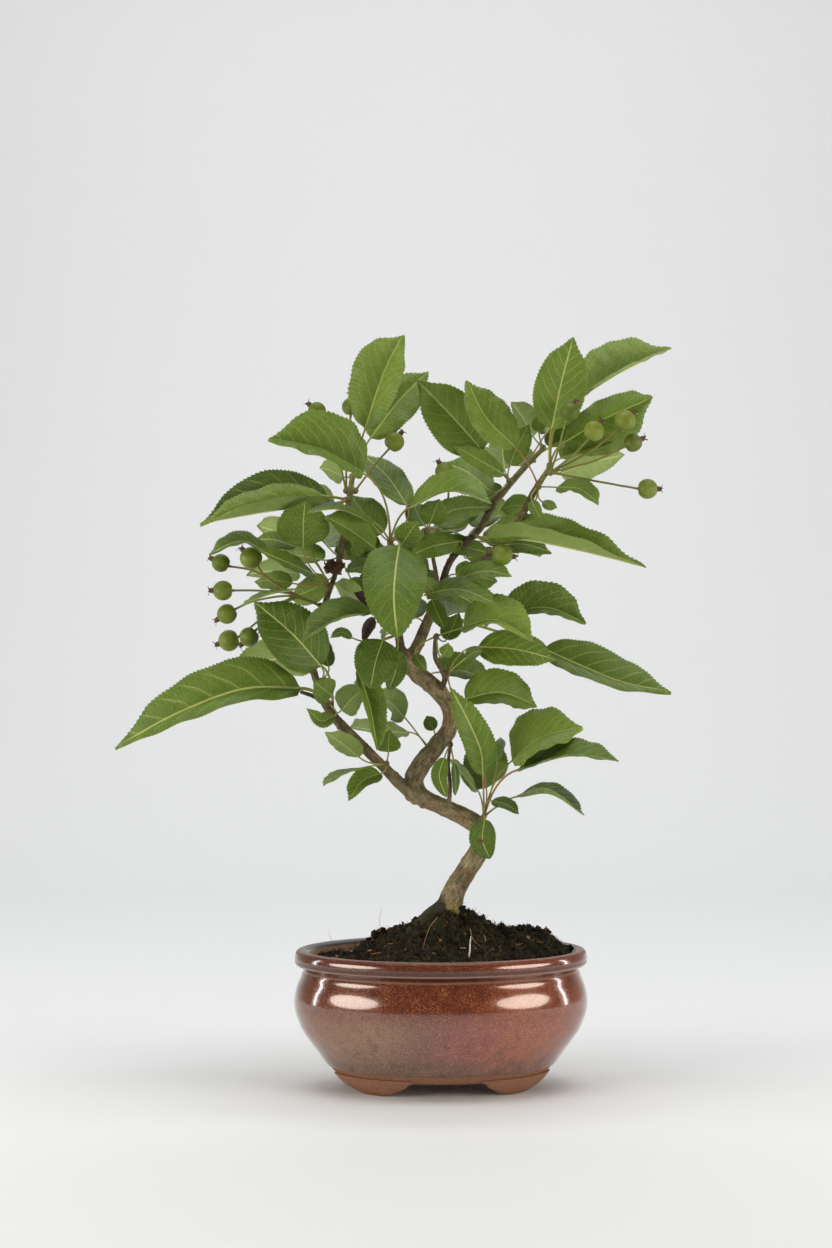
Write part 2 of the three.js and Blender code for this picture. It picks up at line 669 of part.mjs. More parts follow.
// ---------------------------------------------------------------- fruit
// A bunch hangs on a knob like a leaf cluster. A fruit has a centre, a radius, the way its dried
// flower end points as seen from the front, and where its stalk passes on its way to the knob.
const BUNCHES = {
  left: {
    on: "leftBranch",
    knob: [-71, 268, -13],
    fruits: [
      { at: [-121.4, 288.3, -13], radius: 5, eye: [-13, 6], via: [[-104, 284, -14], [-84, 273, -18]] },
      { at: [-104.8, 291, -21], radius: 6, eye: [-9, 9], via: [[-98, 282, -19], [-84, 272, -20]] },
      { at: [-120.3, 273.1, -22], radius: 5.5, eye: [-1, 0], via: [[-100, 273, -20], [-82, 271, -19]] },
      { at: [-118.1, 260.2, -18], radius: 5.5, eye: [-10, -6], via: [[-104, 267, -19], [-82, 270, -18]] },
      { at: [-117, 245.5, -10], radius: 5.8, eye: [-12, -4], via: [[-106, 252, -10], [-82, 269, -16]] },
      { at: [-105.9, 247.5, -20], radius: 5.3, eye: [-8, -8], via: [[-92, 261, -17], [-80, 269, -16]] },
    ],
  },
  left_top: {
    on: "leftBranch",
    knob: [-54, 328, 10],
    fruits: [
      { at: [-68.4, 372.2, 6], radius: 5, eye: [-11, 9], via: [[-58, 352, 11]] },
      { at: [-49.7, 374.4, 12], radius: 5, eye: [0, 1], via: [[-52, 352, 12]] },
    ],
  },
  left_high: {
    on: "leftBranch",
    knob: [-45, 328, 8],
    fruits: [{ at: [-25.7, 355.1, 6], radius: 5.4, eye: [6, 8], via: [[-36, 343, 8]] }],
  },
  middle: {
    on: "innerTwig",
    knob: [-5, 300, 6],
    fruits: [{ at: [2.2, 338.5, 2], radius: 5.5, eye: [-7, 11], via: [[3, 318, 12]] }],
  },
  right: {
    on: "nearShoot",
    knob: [62, 337, -16],
    fruits: [
      { at: [71.2, 371.6, -34], radius: 5.2, eye: [4, 7], via: [[65, 352, -26]] },
      { at: [84.4, 361.1, -32], radius: 5.5, eye: [7, 11], via: [[73, 348, -27]] },
      { at: [101.5, 366.6, -32], radius: 5.8, eye: [7, 7], via: [[84, 351, -26]] },
      { at: [105.9, 354.5, -28], radius: 5, eye: [11, 5], via: [[86, 345, -24]] },
      { at: [113.9, 329.1, -24], radius: 5.5, eye: [1, 0], via: [[88, 333, -22]] },
    ],
  },
  single: {
    on: "nearShoot",
    knob: [26, 293, -7],
    fruits: [{ at: [33.7, 292.7, -13.5], radius: 5.8, eye: [14, -2], via: [[28, 296, -10]] }],
  },
};

const DRY_CLUMP = { at: [-59, 286, -5], size: [6.2, 4, 4.2] };

// ---------------------------------------------------------------- growing the plant
const makeWood = (swell) =>
  joined(
    Object.values(LIMBS).map(({ path, radii, sides, steps }) =>
      tube(path.map(place), radii, sides, steps, swell),
    ),
  );

// The middle of a knob: on the limb's skin, at the spot nearest to where it is wanted.
function seat({ on, knob }) {
  const { path, radii } = LIMBS[on];
  const curve = new THREE.CatmullRomCurve3(path.map(place), false, "centripetal");
  const wanted = place(knob);
  const spots = Array.from({ length: 201 }, (_, i) => i / 200);
  const away = (t) => curve.getPoint(t).distanceTo(wanted);
  const t = spots.reduce((best, one) => (away(one) < away(best) ? one : best));
  const skin = t > 0.98 ? 0 : along(radii, t);
  const root = curve.getPoint(t);
  return root.addScaledVector(wanted.sub(root).normalize(), skin + KNOB_SEAT);
}

// Half the width of a leaf along its rib, 1 at its widest: a rounded base and a drawn-out tip.
const leafShape = (t) =>
  (t / WIDEST) ** 0.56 * ((1 - t) / (1 - WIDEST)) ** (0.56 * (1 / WIDEST - 1));

// The frame of a blade at a point of its rib: the way its upper face looks, and the way across
// the blade that points up, or to the right on an upright leaf.
function bladeFrame(rib, t, turns) {
  const point = rib.getPoint(t);
  const heading = rib.getTangent(t);
  const whole = rib.getPoint(1).sub(rib.getPoint(0)).normalize();
  const seen = EYE.clone().sub(point);
  seen.addScaledVector(heading, -seen.dot(heading)).normalize();
  const across = new THREE.Vector3().crossVectors(heading, seen).normalize();
  const level = new THREE.Vector3().crossVectors(whole, seen);
  const upright = Math.abs(whole.z) > 0.94;
  if ((upright ? level.x : level.z) < 0) across.negate();
  const turn = radians(turns.length > 1 ? along(turns, t) : turns[0]);
  const face = seen.clone().multiplyScalar(Math.cos(turn)).addScaledVector(across, Math.sin(turn));
  const side = across.clone().multiplyScalar(Math.cos(turn)).addScaledVector(seen, -Math.sin(turn));
  return { point, face, side };
}

// How many teeth a side of the edge has, by the leaf's length.
const teethFor = (length) => (length > 66 ? 4 : length > 36 ? 3 : 2);

// One leaf as a closed sheet: a narrow stalk that starts in the knob, then a blade folded along
// its rib, with a toothed edge. Both faces are split into the same triangles.
function makeLeaf(heart, { rib: places, half, turn, fold }) {
  const rib = new THREE.CatmullRomCurve3(places.map(place), false, "centripetal");
  const teeth = teethFor(rib.getLength());
  const bend = radians(fold);
  const spots = [];
  const add = (point, normal, thick, t) =>
    spots.push({ point, lift: normal.clone().multiplyScalar(thick / 2), t }) - 1;

  // a spot of the blade: on the rib, or out on one of the two folded halves
  const onRib = (t) => {
    const { point, face } = bladeFrame(rib, t, turn);
    return add(point, face, BLADE_THICK, t);
  };
  const onHalf = (t, hand, reach) => {
    const { point, face, side } = bladeFrame(rib, t, turn);
    const out = side.clone().multiplyScalar(hand * Math.cos(bend)).addScaledVector(face, Math.sin(bend));
    const normal = face.multiplyScalar(Math.cos(bend)).addScaledVector(side, -hand * Math.sin(bend));
    return add(point.addScaledVector(out, reach), normal, BLADE_THICK, t);
  };

  // the stalk: two square sections before the one where it meets the blade
  const { face, side } = bladeFrame(rib, 0, turn);
  const base = rib.getPoint(0);
  const heading = rib.getTangent(0);
  const lead = base.clone().addScaledVector(heading, -PETIOLE.lead * base.distanceTo(heart));
  const elbow = heart.clone().lerp(lead, PETIOLE.bend);
  const root = heart.clone().addScaledVector(elbow.clone().sub(heart).normalize(), PETIOLE.start);
  const stalk = new THREE.CatmullRomCurve3([root, elbow, base], false, "centripetal");
  const section = (point, stalkHeading) => {
    const swing = new THREE.Quaternion().setFromUnitVectors(heading, stalkHeading);
    const out = side.clone().applyQuaternion(swing).multiplyScalar(PETIOLE.half);
    const normal = face.clone().applyQuaternion(swing);
    return [-1, 1].map((hand) => add(point.clone().addScaledVector(out, hand), normal, PETIOLE.thick, 0));
  };
  const first = section(root, stalk.getTangent(0));
  const second = section(stalk.getPoint(0.5), stalk.getTangent(0.5));
  const collar = section(base, heading);

  const middle = [add(base, face, PETIOLE.thick, 0)];
  for (let i = 1; i <= teeth; i++) {
    middle.push(onRib(i / teeth));
  }
  const tip = middle.at(-1);
  // each tooth is a point that leans towards the tip, with a notch before the next one
  const edges = [-1, 1].map((hand, which) => {
    const edge = [collar[which]];
    for (let i = 1; i < 2 * teeth; i++) {
      const t = (i + TOOTH.lean) / (2 * teeth + TOOTH.lean);
      edge.push(onHalf(t, hand, half * leafShape(t) * (i % 2 ? TOOTH.out : TOOTH.notch)));
    }
    return [...edge, tip];
  });

  // the upper face: the stalk's triangles, then a strip between the rib and each edge
  const upper = [
    [first[0], second[0], first[1]],
    [second[0], second[1], first[1]],
    [second[0], collar[0], middle[0]],
    [second[0], middle[0], second[1]],
    [second[1], middle[0], collar[1]],
  ];
  edges.forEach((edge, which) => {
    let m = 0;
    let e = 0;
    while (m + 1 < middle.length && edge[e] !== tip) {
      const edgeIsNext = spots[edge[e + 1]].t <= spots[middle[m + 1]].t;
      const next = edgeIsNext ? edge[e + 1] : middle[m + 1];
      const corners = [middle[m], edge[e], next];
      upper.push(which ? corners.reverse() : corners);
      if (edgeIsNext) e += 1;
      else m += 1;
    }
  });
  const [left, right] = edges;
  const outline = [first[0], second[0], ...left, ...right.slice(0, -1).reverse(), second[1], first[1]];
  const count = spots.length;
  const points = [1, -1].flatMap((sign) =>
    spots.map(({ point, lift }) => point.clone().addScaledVector(lift, sign)),
  );
  const faces = upper.flatMap(([a, b, c]) => [
    [a, b, c],
    [a + count, c + count, b + count],
  ]);
  outline.forEach((a, i) => {
    const b = outline[(i + 1) % outline.length];
    faces.push([b, a, a + count], [b, a + count, b + count]);
  });
  const solid = solidOf(geometryOf(points, faces));
  if (solid.volume() > 0) return solid;
  return solidOf(geometryOf(points, faces.map(([a, b, c]) => [a, c, b])));
}

const knobSolid = ({ x, y, z }, radius) => solidOf(new THREE.OctahedronGeometry(radius).translate(x, y, z));

function makeCluster(cluster, keepOut) {
  const heart = seat(cluster);
  const leaves = cluster.blades.map((leaf) => makeLeaf(heart, leaf));
  return joined([knobSolid(heart, LEAF_KNOB), ...leaves]).subtract(keepOut);
}

// A little green apple on its stalk, with the withered crown of the flower, lofted in one piece
// along a bent middle line.
const FRUIT_SIDES = 6;
// how far along the fruit's radius a ring lies, and its own radius, both over the fruit's
const FRUIT_RINGS = [
  [-0.88, 0.48],
  [-0.25, 0.98],
  [0.45, 0.9],
  [0.93, 0.36],
];
// how far past the fruit's skin a ring of the crown lies, and its radius
const CROWN_RINGS = [
  [0.9, 0.9],
  [2.6, 2],
];

function makeFruit(heart, { at, radius, eye, via }) {
  const centre = place(at);
  const out = new THREE.Vector3(eye[0], 0, eye[1]).normalize();
  const path = [heart, ...via.map(place).reverse(), centre.clone().addScaledVector(out, -radius)];
  const stalk = new THREE.CatmullRomCurve3(path, false, "centripetal");
  const steps = via.length + 1;
  const stations = [];
  for (let i = 0; i <= steps; i++) {
    const t = i / steps;
    stations.push([stalk.getPoint(t), i < steps ? stalk.getTangent(t) : out, FRUIT_STALK]);
  }
  for (const [reach, size] of FRUIT_RINGS) {
    stations.push([centre.clone().addScaledVector(out, reach * radius), out, size * radius]);
  }
  for (const [reach, size] of CROWN_RINGS) {
    stations.push([centre.clone().addScaledVector(out, radius + reach), out, size]);
  }
  const level = new THREE.Vector3(0, 1, 0);
  let across = level.clone().addScaledVector(stations[0][1], -level.dot(stations[0][1])).normalize();
  const rings = stations.map(([point, heading, size]) => {
    across = across.clone().addScaledVector(heading, -across.dot(heading)).normalize();
    const up = new THREE.Vector3().crossVectors(heading, across);
    return Array.from({ length: FRUIT_SIDES }, (_, s) => {
      const turn = (2 * Math.PI * s) / FRUIT_SIDES;
      return point
        .clone()
        .addScaledVector(across, size * Math.cos(turn))
        .addScaledVector(up, size * Math.sin(turn));
    });
  });
  return loft(rings);
}

function makeBunch(bunch, keepOut) {
  const heart = seat(bunch);
  const fruits = bunch.fruits.map((fruit) => makeFruit(heart, fruit));
  return joined([knobSolid(heart, FRUIT_KNOB), ...fruits]).subtract(keepOut);
}

function makeDryClump(keepOut) {
  const at = place(DRY_CLUMP.at);
  const [x, y, z] = DRY_CLUMP.size;
  const lump = new THREE.IcosahedronGeometry(1, 1).scale(x, y, z).translate(at.x, at.y, at.z);
  return solidOf(lump).subtract(keepOut);
}

// ---------------------------------------------------------------- assembly
const plant = new THREE.Group();
const pot = new THREE.Group();
const bonsai = new THREE.Group();
bonsai.add(plant, pot);

function addMesh(group, name, solid, material) {
  const mesh = new THREE.Mesh(geometryFrom(solid), material);
  mesh.name = name;
  group.add(mesh);
}

const turned = new THREE.Matrix4().makeRotationZ(radians(POT_TURN));
const turnedSolid = (solid) => solidOf(geometryFrom(solid).applyMatrix4(turned));

const wood = makeWood(0);
const nearWood = makeWood(GAP);
const woodInPot = solidOf(geometryFrom(nearWood).applyMatrix4(turned.clone().invert()));

addMesh(pot, "pot", turnedSolid(makePot()), FINISHES.glaze);
addMesh(pot, "drain_mesh_left", turnedSolid(makeDrainMesh(-1)), FINISHES.mesh);
addMesh(pot, "drain_mesh_right", turnedSolid(makeDrainMesh(1)), FINISHES.mesh);
addMesh(pot, "soil", turnedSolid(makeSoil(woodInPot)), FINISHES.earth);
addMesh(plant, "trunk", wood, FINISHES.bark);
for (const [name, cluster] of Object.entries(CLUSTERS)) {
  addMesh(plant, `leaves_${name}`, makeCluster(cluster, nearWood), FINISHES.leaf);
}
for (const [name, bunch] of Object.entries(BUNCHES)) {
  addMesh(plant, `fruits_${name}`, makeBunch(bunch, nearWood), FINISHES.fruit);
}
addMesh(plant, "dry_clump", makeDryClump(nearWood), FINISHES.withered);

// the origin is under the middle of the whole tree's box, on the table
bonsai.updateMatrixWorld(true);
const box = new THREE.Box3().setFromObject(bonsai, true);
const middle = box.getCenter(new THREE.Vector3());
bonsai.position.set(-middle.x, -middle.y, -box.min.z);

export default bonsai;
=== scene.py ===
# %% [markdown]
# # A crabapple bonsai in its glazed pot
#
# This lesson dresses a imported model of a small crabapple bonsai. The model's plain solids say where each
# piece is and how large it is. Here all but two of them are swapped for fine surfaces that keep their
# form, and every piece gets a finish made of shader nodes alone. All sizes below are in millimetres from
# the spot under the pot's middle, with X to the right, Y towards the back and Z up, because that is how
# the tree was measured. They become Blender's metres only where an object is made.

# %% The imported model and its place
import math
import bpy
import numpy as np
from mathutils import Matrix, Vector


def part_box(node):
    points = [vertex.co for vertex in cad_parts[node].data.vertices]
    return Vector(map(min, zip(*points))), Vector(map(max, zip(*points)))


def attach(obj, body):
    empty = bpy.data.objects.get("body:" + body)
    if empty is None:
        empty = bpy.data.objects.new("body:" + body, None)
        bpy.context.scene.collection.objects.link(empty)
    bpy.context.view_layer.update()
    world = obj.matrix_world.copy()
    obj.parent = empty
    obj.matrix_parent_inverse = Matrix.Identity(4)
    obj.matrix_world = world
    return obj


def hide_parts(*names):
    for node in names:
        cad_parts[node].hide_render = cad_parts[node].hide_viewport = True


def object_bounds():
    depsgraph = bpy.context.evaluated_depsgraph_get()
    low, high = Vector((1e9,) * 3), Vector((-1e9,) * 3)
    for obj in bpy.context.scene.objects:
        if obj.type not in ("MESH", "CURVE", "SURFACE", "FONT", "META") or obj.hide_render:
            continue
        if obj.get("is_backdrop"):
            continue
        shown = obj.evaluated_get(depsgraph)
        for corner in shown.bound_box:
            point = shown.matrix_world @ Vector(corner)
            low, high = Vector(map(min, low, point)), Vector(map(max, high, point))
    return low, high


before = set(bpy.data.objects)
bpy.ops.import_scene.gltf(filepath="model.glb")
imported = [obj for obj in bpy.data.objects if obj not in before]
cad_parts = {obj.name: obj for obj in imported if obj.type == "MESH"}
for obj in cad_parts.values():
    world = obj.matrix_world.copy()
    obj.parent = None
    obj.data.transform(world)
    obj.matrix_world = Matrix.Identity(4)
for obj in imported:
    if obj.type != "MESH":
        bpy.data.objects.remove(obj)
cad_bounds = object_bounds()
pot_low, pot_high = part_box("pot")
POT_MIDDLE = np.array([(pot_low.x + pot_high.x) / 2, (pot_low.y + pot_high.y) / 2, 0.0])
print("nodes in the packed model:", len(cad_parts), "pot's middle in metres:", POT_MIDDLE.round(4))

# %% [markdown]
# ## The onlooker
#
# The tree was laid out as it is seen from one spot in front of it, so the eye comes first. A place is
# (across, up, behind): where a thing is seen on the upright plane through the pot's middle, and how far
# behind that plane it really lies. Sliding a thing along its line of sight changes its depth and leaves
# the front view alone, which makes it easy to give a flat-looking crown its real depth.

# %% The eye, and places seen from it
EYE = np.array([-13.8, -1440.0, 254.6])
SENSOR_WIDTH = 36  # millimetres
FRAME_PIXELS, FOCAL_PIXELS = 1248, 2610  # the picture's height, and the focal length on the same scale


def place(spots):
    """Real position of (across, up, behind): the eye plus the sight line, stretched to that depth."""
    spots = np.asarray(spots, float)
    reach = (spots[..., 2:] - EYE[1]) / -EYE[1]
    seen = spots[..., :2] - EYE[[0, 2]]
    flat = EYE[[0, 2]] + seen * reach
    return np.stack([flat[..., 0], spots[..., 2], flat[..., 1]], axis=-1)


def new_object(name, data):
    """An object for a camera, a lamp or a mesh, linked into the scene."""
    made = bpy.data.objects.new(name, data)
    bpy.context.scene.collection.objects.link(made)
    return made


camera_data = bpy.data.cameras.new("camera")
camera_data.sensor_fit = "AUTO"
camera_data.sensor_width = SENSOR_WIDTH
camera_data.lens = FOCAL_PIXELS / FRAME_PIXELS * SENSOR_WIDTH
camera = new_object("camera", camera_data)
camera.location = POT_MIDDLE + EYE / 1000
camera.rotation_euler = (math.radians(90), 0, 0)
bpy.context.scene.camera = camera
print("camera at", [round(v, 3) for v in camera.location], "with a", round(camera_data.lens, 1), "mm lens")

# %% [markdown]
# ## Surfaces from numbers
#
# Nearly every piece here is a row of closed rings, joined like the hoops of a barrel: a pot, a twig, a
# leaf with its stalk and an apple with its stalk all are. So one function joins rings, one puts any
# number of such bodies into a mesh, and the rest of the lesson only has to say where the rings run.

# %% Rings, bodies and meshes
def ring_faces(stations, around):
    """Quads between neighbouring rings: corner (i, j) goes to (i, j+1), (i+1, j+1) and (i+1, j)."""
    i, j = np.meshgrid(np.arange(stations - 1), np.arange(around), indexing="ij")
    k = (j + 1) % around
    corners = [i * around + j, i * around + k, (i + 1) * around + k, (i + 1) * around + j]
    return np.stack(corners, -1).reshape(-1, 4)


def volume_of(points, faces):
    """Signed volume: a sixth of the sum of the triple products of each face's triangles."""
    a, b, c = (points[faces[:, k]] for k in range(3))
    total = np.einsum("ij,ij->i", a, np.cross(b, c)).sum()
    if faces.shape[1] == 4:
        d = points[faces[:, 3]]
        total += np.einsum("ij,ij->i", a, np.cross(c, d)).sum()
    return total / 6


def loft(rings, **values):
    """A closed body through rings of shape (stations, around, 3), each end shut by a fan of triangles
    round its middle. Values, one for each ring point or one for all, go along as point attributes."""
    stations, around = rings.shape[:2]
    points = np.concatenate([rings.reshape(-1, 3), rings[0].mean(0)[None], rings[-1].mean(0)[None]])
    j = np.arange(around)
    k = (j + 1) % around
    first, last = stations * around, (stations - 1) * around
    fans = np.concatenate([
        np.stack([k, j, np.full(around, first)], -1),
        np.stack([last + j, last + k, np.full(around, first + 1)], -1),
    ])
    quads = ring_faces(stations, around)
    if volume_of(points, quads) + volume_of(points, fans) < 0:
        quads, fans = quads[:, ::-1], fans[:, ::-1]
    extended = {}
    for name, value in values.items():
        value = np.broadcast_to(value, (stations, around) + np.shape(value)[2:])
        flat = value.reshape((stations * around,) + value.shape[2:])
        extended[name] = np.concatenate([flat, value[0].mean(0)[None], value[-1].mean(0)[None]])
    return {"points": points, "faces": [quads, fans], **extended}


def gather(bodies):
    """Several bodies as one: their points in a row, their faces renumbered to match."""
    start = np.cumsum([0] + [len(body["points"]) for body in bodies[:-1]])
    faces = [group + s for body, s in zip(bodies, start) for group in body["faces"]]
    names = [name for name in bodies[0] if name != "faces"]
    return {"faces": faces, **{name: np.concatenate([body[name] for body in bodies]) for name in names}}


def add_field(mesh, name, value):
    """Gives each corner of a mesh its own number or vector, which a finish can read by that name."""
    kind, slot = ("FLOAT_VECTOR", "vector") if np.ndim(value) == 2 else ("FLOAT", "value")
    field = mesh.attributes.new(name, kind, "POINT")
    field.data.foreach_set(slot, value.astype(np.float32).ravel())


def add_piece(name, body, replaces=(), sharp=None):
    """Puts a body into a new mesh object in metres, its extra values as point attributes. The piece rides
    on the root body and stands for the model's nodes named."""
    mesh = bpy.data.meshes.new(name)
    points = body["points"] / 1000 + POT_MIDDLE
    sizes = np.concatenate([np.full(len(group), group.shape[1]) for group in body["faces"]])
    corners = np.concatenate([group.ravel() for group in body["faces"]])
    mesh.vertices.add(len(points))
    mesh.vertices.foreach_set("co", points.astype(np.float32).ravel())
    mesh.loops.add(len(corners))
    mesh.loops.foreach_set("vertex_index", corners.astype(np.int32))
    mesh.polygons.add(len(sizes))
    mesh.polygons.foreach_set("loop_start", np.concatenate([[0], np.cumsum(sizes)[:-1]]).astype(np.int32))
    mesh.update(calc_edges=True)
    mesh.validate()
    mesh.polygons.foreach_set("use_smooth", np.ones(len(mesh.polygons), bool))
    if sharp:
        mesh.set_sharp_from_angle(angle=math.radians(sharp))
    for key, value in body.items():
        if key not in ("points", "faces"):
            add_field(mesh, key, value)
    piece = new_object(name, mesh)
    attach(piece, "root")
    if replaces:
        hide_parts(*replaces)
    print(f"{name}: {len(mesh.loops) - 2 * len(mesh.polygons):,} triangles")
    return piece


print("five hoops of four corners are joined by", len(ring_faces(5, 4)), "faces")

# %% [markdown]
# A ring needs a middle line to sit on. Wood and leaf stalks are drawn through a few measured places, and
# a centripetal spline joins those without the loops and bulges that an even spline makes where places
# lie close together. A pair of directions is then carried along the line without twisting.

# %% Middle lines
UP = np.array([0, 0, 1.0])
ASIDE = np.array([0, 1, 0.1])  # what every carried direction starts from: almost straight back


def spline(places, t):
    """Points of a centripetal Catmull-Rom curve at t from 0 to 1, each span an equal share of t. The
    slope at a place weighs its two spans by the square root of their length."""
    places = np.asarray(places, float)
    line = np.array([2 * places[0] - places[1], *places, 2 * places[-1] - places[-2]])
    at = np.clip(np.asarray(t, float) * (len(places) - 1), 0, len(places) - 1 - 1e-9)
    i = at.astype(int)
    w = (at - i)[:, None]
    p0, p1, p2, p3 = (line[i + k] for k in range(4))
    d0, d1, d2 = (np.sqrt(np.linalg.norm(step, axis=1))[:, None] for step in (p1 - p0, p2 - p1, p3 - p2))
    m1 = ((p1 - p0) / d0 - (p2 - p0) / (d0 + d1) + (p2 - p1) / d1) * d1
    m2 = ((p2 - p1) / d1 - (p3 - p1) / (d1 + d2) + (p3 - p2) / d2) * d1
    from_place, from_slope = 2 * w**3 - 3 * w**2 + 1, w**3 - 2 * w**2 + w
    to_place, to_slope = 3 * w**2 - 2 * w**3, w**3 - w**2
    return from_place * p1 + from_slope * m1 + to_place * p2 + to_slope * m2


def unit(vectors):
    """Each vector divided by its length."""
    return vectors / np.maximum(np.linalg.norm(vectors, axis=-1, keepdims=True), 1e-12)


def headings(places, t):
    """Directions of the spline, from points a little before and after t."""
    return unit(spline(places, np.minimum(t + 1e-4, 1)) - spline(places, np.maximum(t - 1e-4, 0)))


def carried(first, heading):
    """A direction carried along a line: at each step it only loses what points along the new heading."""
    out = [unit(first - heading[0] * (first @ heading[0]))]
    for h in heading[1:]:
        out.append(unit(out[-1] - h * (out[-1] @ h)))
    return np.array(out)


def smoothstep(low, high, x):
    """0 below low, 1 above high, and 3x^2 - 2x^3 between them."""
    x = np.clip((x - low) / (high - low), 0, 1)
    return x * x * (3 - 2 * x)


def line_frame(middle):
    """Along a middle line: its heading, and two ways across it that don't twist."""
    heading = unit(np.gradient(middle, axis=0))
    side = carried(ASIDE, heading)
    return heading, side, np.cross(heading, side)


def circles(middle, radius, angle, side, up):
    """Rings round a line, one radius for each: at each angle, cosine times side plus sine times up."""
    way = np.cos(angle)[None, :, None] * side[:, None] + np.sin(angle)[None, :, None] * up[:, None]
    return middle[:, None] + np.reshape(radius, (-1, 1, 1)) * way


def tube(middle, radius, around):
    """A round body: rings with one radius for each station, square to the middle line."""
    _, side, up = line_frame(middle)
    return loft(circles(middle, radius, 2 * np.pi * np.arange(around) / around, side, up))


def strip(middle, faced, half, corners, **values):
    """A flat body along a line. Its width is square to the line and to the way faced, and a corner of its
    section is two shares of half the width, one across and one back, and millimetres back."""
    heading = unit(np.gradient(middle, axis=0))
    wide = unit(np.cross(heading, faced))
    back = np.cross(heading, wide)
    half = np.reshape(half, (-1, 1))
    rings = [middle + half * a * wide + (half * b + c) * back for a, b, c in corners]
    return loft(np.stack(rings, 1), **values)


print("halfway along three places:", spline([(0, 0, 0), (10, 0, 0), (10, 10, 0)], [0.5]).round(2).tolist())

# %% [markdown]
# Nature is never even, so one more tool is a smooth noise. It puts a fixed random number on every corner
# of a lattice and blends them, and the same cell size always gives the same bumps.

# %% Noise
HASH = np.array([73856093, 19349663, 83492791, 49979687, 1274126177])  # large primes that scatter corners


def noise(points, cell, seed=0):
    """Values from -1 to 1: a hash on each corner of a lattice, blended along x, y and z by smooth steps."""
    scaled = np.asarray(points, float) / cell + 1000.5
    base = np.floor(scaled).astype(np.int64)
    f = scaled - base
    f = f * f * (3 - 2 * f)
    total = 0.0
    for corner in np.ndindex(2, 2, 2):
        k = base + corner
        h = np.bitwise_xor.reduce(k * HASH[:3], axis=-1) ^ ((seed + 1) * HASH[3])
        h = ((h ^ (h >> 13)) * HASH[4]) & 0xFFFFFFFF
        value = ((h ^ (h >> 16)) & 0xFFFF) / 32767.5 - 1
        weight = np.prod(np.where(np.array(corner) == 1, f, 1 - f), axis=-1)
        total = total + value * weight
    return total


trial = noise(np.random.default_rng(1).uniform(0, 50, (500, 3)), 3)
print("noise runs from", trial.min().round(2), "to", trial.max().round(2))

# %% [markdown]
# ## Finishes as sums
#
# A finish is mostly arithmetic: a little of this where that is large. Blender does it with Math nodes,
# which are hard to read in a long list, so a small class lets a sum be written as a sum. Every operator
# adds its node. Colours go through Mix nodes, since a Math node would turn them grey.

# %% Sockets that can be added and multiplied
def operator(operation, reflected=False):
    """A method that adds one Math node. The reflected form, as in 1 - mask, swaps its two values."""

    def method(wire, *other):
        values = (*other, wire) if reflected else (wire, *other)
        return wire.finish.math(operation, *values)

    return method


class Wire:
    """An output socket of a node tree. Each operator adds one Math node and returns its output."""

    def __init__(self, finish, socket):
        self.finish, self.socket = finish, socket

    __add__, __radd__ = operator("ADD"), operator("ADD", reflected=True)
    __sub__, __rsub__ = operator("SUBTRACT"), operator("SUBTRACT", reflected=True)
    __mul__, __rmul__ = operator("MULTIPLY"), operator("MULTIPLY", reflected=True)
    __abs__ = operator("ABSOLUTE")


